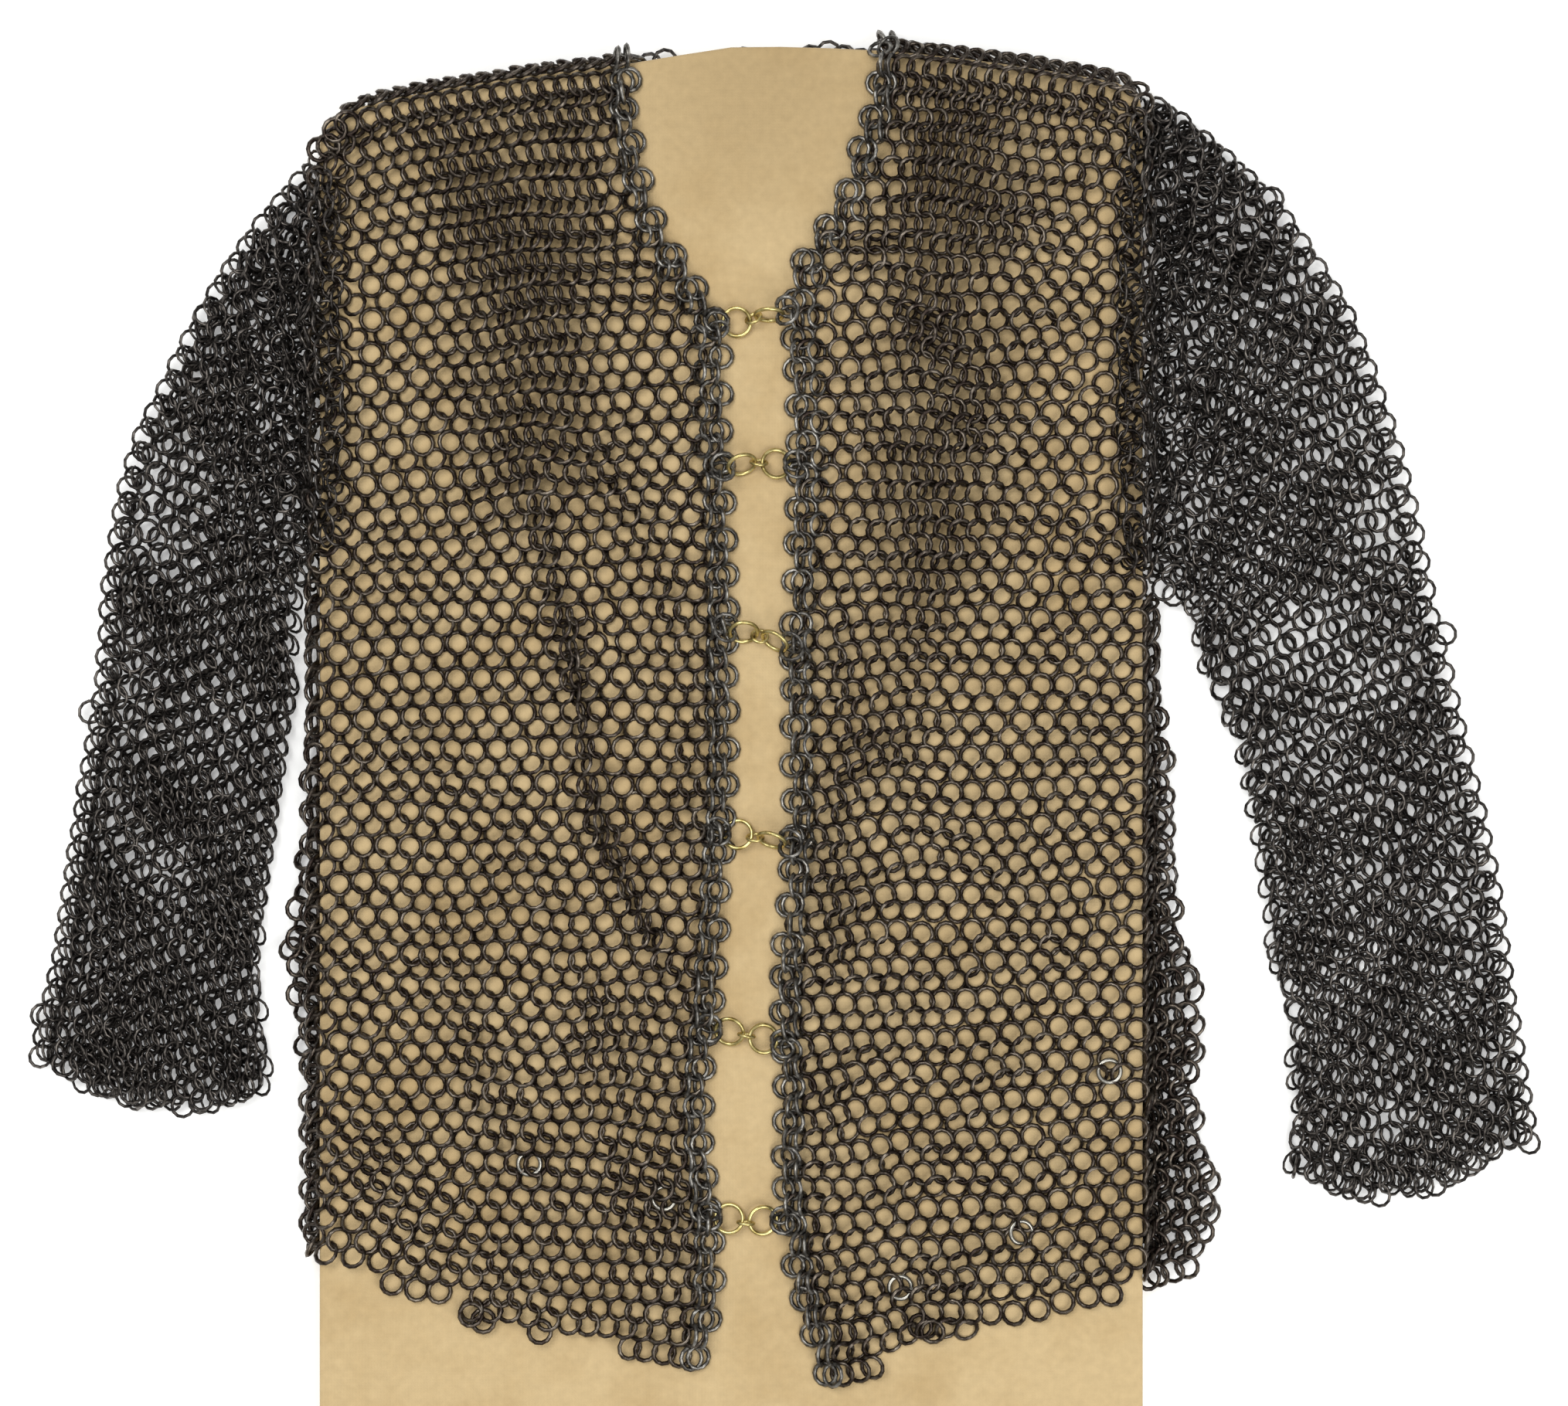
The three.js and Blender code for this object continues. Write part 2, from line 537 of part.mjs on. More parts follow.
// A closed tube wall between inner and outer loops that match section by section
function tubeBetween(inner, outer, flip) {
  const sections = outer.length;
  const around = outer[0].length;
  const points = [...inner.flat(), ...outer.flat()];
  const triangles = [];
  const at = (layer, section, step) => layer * sections * around + section * around + (step % around);
  const quad = (a, b, c, d) => (flip ? triangles.push(a, b, c, a, c, d) : triangles.push(a, c, b, a, d, c));
  for (let step = 0; step < around; step += 1) {
    for (let section = 0; section < sections - 1; section += 1) {
      quad(at(1, section, step), at(1, section, step + 1), at(1, section + 1, step + 1), at(1, section + 1, step));
      quad(at(0, section, step), at(0, section + 1, step), at(0, section + 1, step + 1), at(0, section, step + 1));
    }
    const far = sections - 1;
    quad(at(1, 0, step), at(0, 0, step), at(0, 0, step + 1), at(1, 0, step + 1));
    quad(at(1, far, step), at(1, far, step + 1), at(0, far, step + 1), at(0, far, step));
  }
  return solidFrom(points, triangles);
}

function brassRing(name, size, place, around, sides) {
  const mesh = named(name, new THREE.TorusGeometry(size.radius, size.wire, sides, around), brass);
  mesh.position.copy(place.centre);
  mesh.quaternion.copy(place.turn);
  return mesh;
}

const shirt = new THREE.Group();
shirt.add(board(), back(), frontPanel(rightFront), frontPanel(leftFront), sleeve(rightSleeve), sleeve(leftSleeve));
for (const clasp of clasps) {
  const pieces = claspPieces(clasp);
  shirt.add(
    brassRing(`${clasp.name}_ring_right`, claspRing, pieces.right, 18, 6),
    brassRing(`${clasp.name}_ring_left`, claspRing, pieces.left, 18, 6),
    brassRing(`${clasp.name}_link`, claspLink, pieces.link, 14, 6),
  );
}

// The frame's origin is the middle of the footprint, on the floor
const extent = new THREE.Box3().setFromObject(shirt, true);
const middle = extent.getCenter(new THREE.Vector3());
shirt.position.set(-middle.x, -middle.y, -extent.min.z);

export default shirt;
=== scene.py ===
# A chainmail shirt laid flat around a linen covered display board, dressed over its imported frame.
import math

import bpy
import numpy as np
from bpy.props import FloatProperty, FloatVectorProperty, IntProperty, PointerProperty
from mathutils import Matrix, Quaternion, Vector


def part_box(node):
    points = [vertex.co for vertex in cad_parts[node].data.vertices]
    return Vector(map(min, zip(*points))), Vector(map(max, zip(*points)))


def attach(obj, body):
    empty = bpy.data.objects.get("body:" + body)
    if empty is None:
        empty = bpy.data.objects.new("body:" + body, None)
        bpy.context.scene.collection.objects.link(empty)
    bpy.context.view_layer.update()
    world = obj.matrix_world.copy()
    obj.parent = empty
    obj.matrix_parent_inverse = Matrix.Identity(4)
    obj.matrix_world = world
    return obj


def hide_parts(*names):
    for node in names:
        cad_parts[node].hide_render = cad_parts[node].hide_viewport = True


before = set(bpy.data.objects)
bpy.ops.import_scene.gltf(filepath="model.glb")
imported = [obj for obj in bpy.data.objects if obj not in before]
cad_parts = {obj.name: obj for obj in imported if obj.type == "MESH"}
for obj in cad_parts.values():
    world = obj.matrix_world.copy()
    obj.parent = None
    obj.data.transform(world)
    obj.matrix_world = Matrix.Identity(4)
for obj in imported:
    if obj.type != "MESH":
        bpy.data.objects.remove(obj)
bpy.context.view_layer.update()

bl_info = {
    "name": "Chainmail shirt on a display board",
    "version": (1, 0, 0),
    "blender": (4, 5, 0),
    "location": "View3D > Sidebar > Mail shirt",
    "description": "Builds the mail, the clasps, the board's linen and the stage of a laid out mail shirt",
    "category": "Object",
}

# Frame, in metres, and the shirt's own millimetres, measured from the middle of the board's lower edge
BOARD_LOW, BOARD_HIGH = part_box("board")
MIDDLE_X = (BOARD_LOW[0] + BOARD_HIGH[0]) / 2
LOWER_Y = BOARD_LOW[1]
HALF_BOARD = (BOARD_HIGH[0] - BOARD_LOW[0]) * 500
BOARD_BOTTOM = BOARD_LOW[2] * 1000
BOARD_TOP = BOARD_HIGH[2] * 1000
SEAM = 0.3
SUPPORT = BOARD_TOP + SEAM

# Camera over the middle of the photographed area
CAMERA_HEIGHT = 1.9
CAMERA_FROM_MIDDLE = 0.0308
CAMERA_FROM_LOWER_EDGE = 0.4372
PHOTO_WIDTH_ON_FLOOR = 0.9238
SENSOR = 36.0

# Floor, in metres: a hair under the shirt, so that the two don't show through each other
HALF_FLOOR = 6.0
FLOOR_HEIGHT = -0.0006

# Top edge of the board as x and height, before its corners are rounded
BOARD_TOP_EDGE = (
    (-240, 777), (-201, 789), (-133, 801), (-55, 811), (2, 820),
    (31, 820), (84, 818), (137, 813), (204, 803), (240, 796),
)

# Front panels. Opening is height and x of the front edge. Reach is height and spread past the board's
# side. Hem is fraction across and height. Gathers are the two ends' x and height, pull and width. Rip
# is x, height, half width and depth.
FRONT_RIGHT = {
    "name": "mail_front_right", "node": "front_right", "side": -1, "armpit": 516,
    "columns": 18.5, "rows": 74, "flat": (0.272, 0.80), "cut_area": 0.193,
    "opening": ((54, -18), (85, -9), (130, -9), (200, -15), (262, -9), (352, -2), (464, 0), (599, -4),
                (660, -8), (690, -25), (715, -40), (760, -53), (785, -58), (812, -55)),
    "reach": ((100, 7.5), (150, 12), (250, 15), (283, 22), (330, 16), (375, 10), (440, 6), (520, 6)),
    "hem": ((0, 54), (0.11, 60), (0.3, 69), (0.5, 78), (0.62, 80), (0.68, 86), (0.8, 94),
            (0.92, 106), (1, 118)),
    "gathers": ((-128, 730, -112, 575, 18, 52), (-112, 552, -93, 473, 8, 13), (-93, 473, -79, 374, 9, 13),
                (-79, 374, -43, 293, 9, 13)),
    "rip": (-160, 82, 8, 24),
}
FRONT_LEFT = {
    "name": "mail_front_left", "node": "front_left", "side": 1, "armpit": 501,
    "columns": 16, "rows": 75, "flat": (0.262, 0.80), "cut_area": 0.180,
    "opening": ((43, 54), (80, 41), (130, 31), (240, 28), (277, 26), (330, 32), (464, 33), (600, 36),
                (655, 34), (690, 37), (712, 51), (757, 72), (790, 82), (816, 84)),
    "reach": ((100, 28), (140, 46), (178, 39), (215, 33), (247, 38), (306, 25), (351, 20),
              (396, 19), (440, 13), (505, 9)),
    "hem": ((0, 43), (0.07, 47), (0.2, 57), (0.33, 66), (0.47, 68), (0.57, 75), (0.7, 78), (0.85, 87),
            (0.95, 93), (1, 98)),
    "gathers": ((132, 745, 118, 540, 16, 50), (116, 540, 84, 400, 6, 26), (66, 470, 60, 300, 4, 14)),
    "rip": None,
}

# Sleeves. Folds are outer x and height, then inner x and height, from the armhole to the cuff. Row
# spacing is length along the outer fold and millimetres between rows. Open spots are x, height and
# size, and strays are single rings.
SLEEVE_RIGHT = {
    "name": "mail_sleeve_right", "node": "sleeve_right", "side": -1, "flat": (0.50, 0.56), "cut_area": 0.22,
    "folds": ((241, 762, 243, 521), (247, 754, 249.5, 517), (260, 739, 251, 507), (279, 716, 252, 495),
              (300, 685, 253, 480), (320, 650, 254, 462), (335, 618, 255, 444), (349, 591, 257, 424),
              (359, 554, 260.5, 400), (366, 505, 265.5, 368), (370, 446, 272, 335), (379, 396, 276, 306),
              (387, 342, 276.5, 280), (395, 287, 275, 255), (405, 247, 272, 236), (402, 221, 268, 209)),
    "cuff_bow": 19, "row_slope": 17, "column_pitch": 10.6,
    "row_spacing": ((0, 8.2), (200, 7.8), (330, 6.7), (480, 6.1), (700, 6.0)),
    "open_spots": ((-345, 560, 45), (-365, 440, 40), (-300, 420, 30), (-330, 340, 22), (-255, 735, 32)),
    "strays": ((-404, 254, 20), (-308, 665, 70), (-376, 432, 100)),
}
SLEEVE_LEFT = {
    "name": "mail_sleeve_left", "node": "sleeve_left", "side": 1, "flat": (0.50, 0.60), "cut_area": 0.245,
    "folds": ((245, 792, 243, 507), (258, 785, 252, 504), (275, 771, 259, 497), (295, 754, 267, 486),
              (319, 731, 274, 471), (339, 703, 277, 459), (360, 670, 282, 446), (373, 638, 288, 430),
              (388, 595, 296, 412), (402, 541, 302, 392), (412, 487, 306, 366), (424, 438, 310, 338),
              (438, 378, 315, 306), (449, 325, 319, 280), (456, 268, 326, 248), (464, 218, 328, 212),
              (454, 170, 326, 161)),
    "cuff_bow": 22, "row_slope": 20, "column_pitch": 12.4,
    "row_spacing": ((0, 8.3), (420, 8.4), (560, 7.8), (660, 6.8), (800, 6.6)),
    "open_spots": ((343, 468, 42), (345, 405, 26), (420, 327, 22), (380, 195, 16), (400, 560, 50),
                   (360, 620, 40), (268, 765, 34), (300, 725, 26), (345, 690, 24)),
    "strays": ((317, 733, 60), (321, 291, 110), (418, 478, 80)),
}

# Folds of the upper layer beside the board: distance out from the armhole, height of the mail's middle
BUNCH = (
    (58, 8.6), (49, 9), (44, 12), (39, 15.5), (34, 15), (30, 10.5), (26, 10), (22, 15), (18, 20), (14, 19),
    (11, 14), (8, 13), (5, 18), (2, 23), (-2, 24),
)

# Single rings, as x, height and turn in degrees: of brighter iron on the fronts, a painted highlight, loose
# at the hem and at the shoulder's corner, and the back's that show behind the neck
HIGHLIT_RINGS = ((-117.5, 169, 20), (-39, 149, 70), (220, 223, 110), (98.5, 97, 40), (169, 129, 10))
LOOSE = {
    -1: ((-230, 770, 20), (-234, 761, 70), (-223, 774, 110), (-151, 82, 12), (-144, 78, 60), (-111, 72, 40)),
    1: ((110, 75, 10), (117, 72, 50)),
}
NECK = ((-48, 812, 10), (-39, 814, 60), (47, 817, 30), (57, 819, 80), (66, 817, 100))

# Clasps from the neck down: x and height of the joint, then roll and yaw in degrees of the right and
# the left ring
CLASPS = (
    (13.1, 661, 8, 12, 70, 9),
    (16.2, 577, 52, 8, -8, -3),
    (16.7, 476, 45, -14, 58, -18),
    (14, 359, -10, -10, 60, -8),
    (9, 244, 22, -12, -16, -12),
    (8.6, 135, -8, -12, 10, 6),
)
CLASP_RING = (8.0, 1.0)
CLASP_LINK = (4.5, 0.8)
CLASP_PLAY = 0.45
# The brass wire is drawn a little stouter than the solids' and springs open by as much
CLASP_STOUTER = 0.18
# Steps round a ring and sides of its wire
CLASP_STEPS = (36, 12)

# The back's mail: distance between rings and between rows, rings each way, the row where its halves
# meet, steps round a ring and sides of its wire
BACK_PITCH = (9.4, 9.2)
BACK_RINGS = (64, 86)
BACK_HALF = 42
BACK_STEPS = (10, 3)
# Steps round a bright ring and sides of its wire
HIGHLIT_RING_STEPS = (20, 6)

# Width of a front's ring past the board's side, and height of a row in the roll at the armhole
SIDE_PITCH = 8.8
ROLL_PITCH = 7.6
# Least gap between a wire and the floor
CLEAR_OF_FLOOR = 0.05


# Curves read from short tables
def follow(rows, at):
    """A smooth curve through (key, value) rows, read at an array of keys."""
    keys = np.array([row[0] for row in rows], float)
    values = np.array([row[1] for row in rows], float)
    slopes = np.gradient(values, keys)
    at = np.clip(np.asarray(at, float), keys[0], keys[-1])
    i = np.clip(np.searchsorted(keys, at, side="right") - 1, 0, len(keys) - 2)
    span = keys[i + 1] - keys[i]
    u = (at - keys[i]) / span
    return (
        (2 * u**3 - 3 * u**2 + 1) * values[i] + (u**3 - 2 * u**2 + u) * span * slopes[i]
        + (3 * u**2 - 2 * u**3) * values[i + 1] + (u**3 - u**2) * span * slopes[i + 1]
    )


def shoulder_y(x):
    """Height of the board's top edge, where the mail goes over it and round its corners."""
    radius = np.where(np.asarray(x) < 0, 26.0, 14.0)
    past = np.clip(np.abs(x) - HALF_BOARD + radius, 0, radius - 0.2)
    return follow(BOARD_TOP_EDGE, x) + 0.4 - (radius - np.sqrt(radius**2 - past**2))


def smooth_step(low, high, at):
    u = np.clip((at - low) / (high - low), 0, 1)
    return u * u * (3 - 2 * u)


def ripple(seed, length, x, y):
    """Smooth unevenness between about -1 and 1, with waves of about that length in millimetres."""
    chance = np.random.default_rng(seed)
    total = np.zeros_like(x, dtype=float)
    for _ in range(7):
        turn = chance.uniform(0, 2 * math.pi)
        wave = length * chance.uniform(0.7, 1.5)
        phase = chance.uniform(0, 2 * math.pi)
        total += np.sin((x * math.cos(turn) + y * math.sin(turn)) * 2 * math.pi / wave + phase)
    return total / 3.2


class Path:
    """A line in section, given as (out, z) points, that is read at a length along it."""

    def __init__(self, points):
        points = np.array(points, float)
        self.out = points[:, 0]
        self.z = points[:, 1]
        steps = np.hypot(np.diff(self.out), np.diff(self.z))
        self.length = np.concatenate([[0], np.cumsum(steps)])

    def read(self, at):
        return np.interp(at, self.length, self.out), np.interp(at, self.length, self.z)


def arc(centre, radius, start, end, steps):
    angles = np.radians(np.linspace(start, end, steps))
    return [(centre[0] + radius * math.cos(a), centre[1] + radius * math.sin(a)) for a in angles]


# The mail is too stiff for the board's sharp edge and goes over it in a rounder bend
BEND = 5.0
SHOULDER_FALL = 12.0
OVER_EDGE = arc((SEAM - BEND, SUPPORT - BEND), BEND, 90, 0, 8)
FLOOR_TURN = 5.0
OVER_SIDE = Path(
    OVER_EDGE
    + arc((SEAM + FLOOR_TURN, BOARD_BOTTOM + FLOOR_TURN), FLOOR_TURN, 180, 270, 6)
    + [(120, BOARD_BOTTOM)]
)
OVER_SHOULDER = Path(OVER_EDGE + [(SEAM, BOARD_BOTTOM)])


# Rings
def to_frame(points):
    """The shirt's millimetres to the frame's metres."""
    return points / 1000 + np.array([MIDDLE_X, LOWER_Y, 0])


def ring_mesh(name, centres, across, along, radius, wire, around, sides):
    """One mesh of many wire rings. Across and along are the two directions in each ring's plane."""
    count = len(centres)
    facing = np.cross(across, along)
    turn = np.linspace(0, 2 * math.pi, around, endpoint=False)
    section = np.linspace(0, 2 * math.pi, sides, endpoint=False)
    spoke = across[:, None] * np.cos(turn)[None, :, None] + along[:, None] * np.sin(turn)[None, :, None]
    reach = radius + wire * np.cos(section)
    points = (
        centres[:, None, None] + spoke[:, :, None] * reach[None, None, :, None]
        + facing[:, None, None] * (wire * np.sin(section))[None, None, :, None]
    )
    points = to_frame(points.reshape(-1, 3))
    ring, step, side = np.meshgrid(np.arange(count), np.arange(around), np.arange(sides), indexing="ij")

    def corner(next_step, next_side):
        return (ring * around + (step + next_step) % around) * sides + (side + next_side) % sides

    quads = np.stack([corner(0, 0), corner(1, 0), corner(1, 1), corner(0, 1)], axis=-1).reshape(-1, 4)
    mesh = bpy.data.meshes.new(name)
    mesh.vertices.add(len(points))
    mesh.vertices.foreach_set("co", points.astype(np.float32).ravel())
    mesh.loops.add(quads.size)
    mesh.loops.foreach_set("vertex_index", quads.astype(np.int32).ravel())
    mesh.polygons.add(len(quads))
    mesh.polygons.foreach_set("loop_start", np.arange(0, quads.size, 4, dtype=np.int32))
    mesh.polygons.foreach_set("use_smooth", np.ones(len(quads), dtype=bool))
    mesh.update(calc_edges=True)
    return mesh


def unit(vectors):
    return vectors / np.maximum(np.linalg.norm(vectors, axis=-1, keepdims=True), 1e-9)


def lay_rings(place, columns, rows, size, seed, out_sign=1.0, lean=3.8, play=1.0, raised=1.0, most_lean=0.86,
              nod=0.0):
    """Rings of 4-in-1 mail on a surface. Place turns arrays of column and row into points on it.

    Every ring leans over its neighbour in the row, and each row leans the other way from the last.
    Lean and most_lean may be arrays. Raised lifts the rings off the surface by half their height.
    Nod tips the rings of every other row toward the next row.
    """
    ring_radius, wire = size
    chance = np.random.default_rng(seed)
    count = len(columns)
    base = place(columns, rows)
    in_row = place(columns + 0.5, rows) - place(columns - 0.5, rows)
    up_row = place(columns, rows + 0.5) - place(columns, rows - 0.5)
    pitch = np.linalg.norm(in_row, axis=1)
    normal = unit(np.cross(in_row, up_row)) * out_sign
    row_way = unit(in_row)
    column_way = np.cross(normal, row_way)
    sine = np.clip(lean / np.maximum(pitch, 1), 0.27, most_lean)
    angle = np.arcsin(sine) * np.where(np.round(rows) % 2 == 0, 1, -1)
    angle = angle + chance.normal(0, 0.09, count) * play
    rise = (ring_radius * np.abs(np.sin(angle)) + wire) * raised
    centres = base + normal * (rise + chance.uniform(0, 0.5, count) * play)[:, None]
    centres += (row_way * (chance.normal(0, 0.4, count) * play)[:, None]
                + column_way * (chance.normal(0, 0.35, count) * play)[:, None])
    across = row_way * np.cos(angle)[:, None] + normal * np.sin(angle)[:, None]
    tipped = nod * (np.round(rows) % 2) + chance.normal(0, 0.13, count) * play
    along = column_way + normal * tipped[:, None]
    along = unit(along - across * np.sum(along * across, axis=1, keepdims=True))
    return centres, across, along


def join_rings(*groups):
    return tuple(np.concatenate(parts) for parts in zip(*groups))


def lattice(columns, rows):
    """Column and row of each ring: every other row is half a ring along."""
    row, column = np.meshgrid(np.arange(rows + 1.0), np.arange(columns + 1.0), indexing="ij")
    column = column + 0.5 * (row % 2)
    return column.ravel(), row.ravel()


# Surfaces that the mail follows
def front_place(panel):
    """Place of a front panel: flat on the board, down over its side and over the shoulder."""
    side = panel["side"]
    edge = HALF_BOARD - BEND
    seed = 11 if side < 0 else 12

    def place(column, row):
        part = column / panel["columns"]
        inside = np.clip(part, None, 1)
        # Columns stand a little closer together at the front edge, more so toward the hem
        uneven = 0.06 + 0.14 * (1 - row / panel["rows"])
        spread = (1 - uneven) * inside + uneven * inside**2
        neck_x = panel["opening"][-1][1]
        top_x = neck_x + (side * edge - neck_x) * spread
        top = shoulder_y(top_x) - BEND + SHOULDER_FALL
        beyond = np.maximum(part - 1, 0) * panel["columns"] * SIDE_PITCH
        # The rows slant half as much as the hem, which is cut across them
        first = panel["hem"][0][1]
        hem = first + 0.5 * (follow(panel["hem"], np.clip(spread, 0, 1)) - first) + 5 + 0.25 * beyond
        # The last rows lie closer together where they turn over the shoulder's edge
        over_edge = 1.4 * np.maximum(row - panel["rows"] + 4, 0)
        y = hem + (top + 5.6 - hem) * (row - 0.05 * np.cos(np.pi * row)) / panel["rows"] - over_edge
        opening = follow(panel["opening"], y)
        x = opening + (side * edge - opening) * spread + side * 3.5 * (1 - inside)
        # Uneven lie of the mail in long and short waves, which fades at the panel's edges
        steady = 0.15 + 0.85 * smooth_step(panel["rows"] - 1, panel["rows"] - 7, row)
        fade = np.clip(inside * 6, 0.25, 1) * np.clip((1 - inside) * 8, 0.2, 1) * steady
        x = x + fade * (2.6 * ripple(seed, 90, x, y) + 0.6 * ripple(seed + 20, 26, x, y))
        y = y + steady * (2.4 * ripple(seed + 40, 80, x, y) + 0.3 * ripple(seed + 60, 24, x, y))
        # Gathers draw the rings on both sides toward their line
        for x0, y0, x1, y1, pull, width in panel["gathers"]:
            along = np.clip((y - y0) / (y1 - y0), -0.3, 1.3)
            away = (x - (x0 + (x1 - x0) * along)) / width
            ends = smooth_step(-0.3, 0.15, along) * smooth_step(1.3, 0.85, along)
            inset = smooth_step(0, 0.1, inside) * smooth_step(1, 0.9, inside)
            x = x - pull * ends * inset * away * np.exp(-away**2 / 2)
        # Past the board's edges the mail bends down over its side and its shoulder
        shoulder = shoulder_y(np.clip(x, -edge, edge)) - BEND
        past_side = np.maximum(beyond, 0)
        past_top = np.maximum(y - shoulder, 0)
        side_out, side_z = OVER_SIDE.read(past_side)
        top_out, top_z = OVER_SHOULDER.read(past_top)
        # At the armhole it stays level and ends
        lip = y > panel["armpit"] - 2
        side_out = np.where(lip, past_side - BEND, side_out)
        side_z = np.where(lip, SUPPORT, side_z)
        x = np.where(beyond > 0, side * (HALF_BOARD + side_out), x)
        y = np.where(past_top > 0, shoulder + BEND + top_out, y)
        z = np.maximum(side_z + top_z - SUPPORT, BOARD_BOTTOM)
        folds = gather_height(panel, x, y) * (beyond <= 0)
        return np.stack([x, y, z + folds], axis=-1)

    return place


def gather_height(panel, x, y):
    """How far the mail stands up along its gathers."""
    most = np.zeros_like(x)
    for x0, y0, x1, y1, pull, width in panel["gathers"]:
        line = np.array([x1 - x0, y1 - y0])
        along = np.clip(((x - x0) * line[0] + (y - y0) * line[1]) / line.dot(line), 0, 1)
        away = np.hypot(x - x0 - line[0] * along, y - y0 - line[1] * along) / width
        most = np.maximum(most, 0.3 * pull * np.exp(-away**2 * 2))
    return most


def front_rings(panel, size):
    """A front panel's rings, and how many of them come before those of its front edge."""
    side = panel["side"]
    place = front_place(panel)
    column, row = lattice(panel["columns"] + 9, panel["rows"])
    point = place(column, row)
    neck_side = follow(panel["opening"], point[:, 1])
    across = np.clip((point[:, 0] - neck_side) / (side * HALF_BOARD - neck_side), 0, 1)
    above_hem = point[:, 1] > follow(panel["hem"], across) + np.where(across < 0.22, -4, 1.5)
    past = np.abs(point[:, 0]) - HALF_BOARD
    reach = follow(panel["reach"], point[:, 1])
    limit = np.where(point[:, 1] > panel["armpit"] - 4, 2.5, reach - 3.0)
    keep = (past < limit) & ((column <= panel["columns"]) | (past > -BEND))
    corner = float(shoulder_y(side * (HALF_BOARD - 8)))
    keep &= (past < -BEND) | (point[:, 1] < corner - 9)
    keep &= (column > 0.1) & above_hem
    if panel["rip"]:
        x, y, half, depth = panel["rip"]
        height = point[:, 1] - y
        keep &= ~((np.abs(point[:, 0] - x) < half * (1 - height / depth)) & (height < depth))
    column = column[keep]
    row = row[keep]
    falling = row > panel["rows"] - 3.5
    body = lay_rings(place, column, row, size, 100 + side, out_sign=float(side),
                     lean=3.6, play=np.where(falling, 0.35, 0.5), nod=0.5)
    loose = stray_rings(LOOSE[side], SUPPORT + 4, 221 + side)
    inner = len(body[0]) + len(loose[0])
    return join_rings(body, loose, edge_rings(panel, place, size), hook_rings(side, size)), inner


def edge_rings(panel, place, size):
    """The rings of the front edge: a ring stands out at every other row, and on edge between them."""
    rows = np.arange(panel["rows"] + 1, dtype=float)
    even = rows[::2]
    odd = rows[1::2]
    side = panel["side"]
    knobs = lay_rings(place, 0 * even - 0.12, even, size, 110 + side,
                      out_sign=float(side), lean=2.6, most_lean=0.4, play=0.8)
    behind = lay_rings(place, 0 * even + 0.32, even, size, 112 + side,
                       out_sign=float(side), lean=4.2, play=1.2)
    column = np.concatenate([0 * odd + 0.12, 0 * odd + 0.78])
    on_edge = lay_rings(place, column, np.concatenate([odd, odd]), size, 114 + side,
                        out_sign=float(side), lean=12, most_lean=0.95, play=1.2, raised=0.8)
    return join_rings(knobs, behind, on_edge)


def hook_rings(side, size):
    """The iron rings that hold the brass rings to the front edge: two on edge through each."""
    centres = []
    ups = []
    ways = []
    for clasp in CLASPS:
        centre, turn = clasp_places(clasp)["left" if side > 0 else "right"]
        way = np.array(turn @ Vector((side, 0, 0)))
        end = np.array(centre) + way * (CLASP_RING[0] + size[0] - CLASP_RING[1] - size[1] - 0.6)
        for tilt in (-1, 1):
            up = np.array([0, 0.82 * tilt, 0.57])
            up = unit(up - way * up.dot(way))
            low = size[0] * math.hypot(way[2], up[2]) + size[1]
            centres.append([end[0], end[1] + 2.4 * tilt, max(end[2], SUPPORT + low)])
            ups.append(up)
            ways.append(way)
    return np.array(centres), np.array(ways), np.array(ups)


def back_outline():
    """The back's outline, from the right side of the hem round to the neck and back."""
    right = [(-HALF_BOARD - float(follow(FRONT_RIGHT["reach"], y)), y) for y in np.linspace(512, 118, 24)]
    left = [(HALF_BOARD + float(follow(FRONT_LEFT["reach"], y)), y) for y in np.linspace(98, 497, 24)]
    hem = [(x, 66 + 48 * (x / HALF_BOARD) ** 4) for x in np.linspace(-230, 230, 16)]
    # The back shows 2.5 mm past the board behind the neck and 4.5 mm over the shoulders
    top = []
    for x in np.linspace(243, -243, 30):
        top.append((x, float(shoulder_y(x)) + (4.5 if abs(x - 15) > 70 else 2.5)))
    return np.array(right + hem + left + [(243, 501)] + top + [(-243, 516)])


def inside_by(outline, x, y):
    """Distance of each point inside a closed outline, negative outside it."""
    start = outline
    end = np.roll(outline, -1, axis=0)
    way = end - start
    dx = x[:, None] - start[None, :, 0]
    dy = y[:, None] - start[None, :, 1]
    along = np.clip((dx * way[:, 0] + dy * way[:, 1]) / np.maximum((way**2).sum(1), 1e-9), 0, 1)
    away = np.hypot(dx - along * way[:, 0], dy - along * way[:, 1]).min(axis=1)
    above = (start[None, :, 1] > y[:, None]) != (end[None, :, 1] > y[:, None])
    slope = np.where(np.abs(way[:, 1]) < 1e-9, 1e-9, way[:, 1])
    crossing = start[None, :, 0] + (y[:, None] - start[None, :, 1]) * way[:, 0] / slope
    inside = (above & (x[:, None] < crossing)).sum(axis=1) % 2 == 1
    return np.where(inside, away, -away)


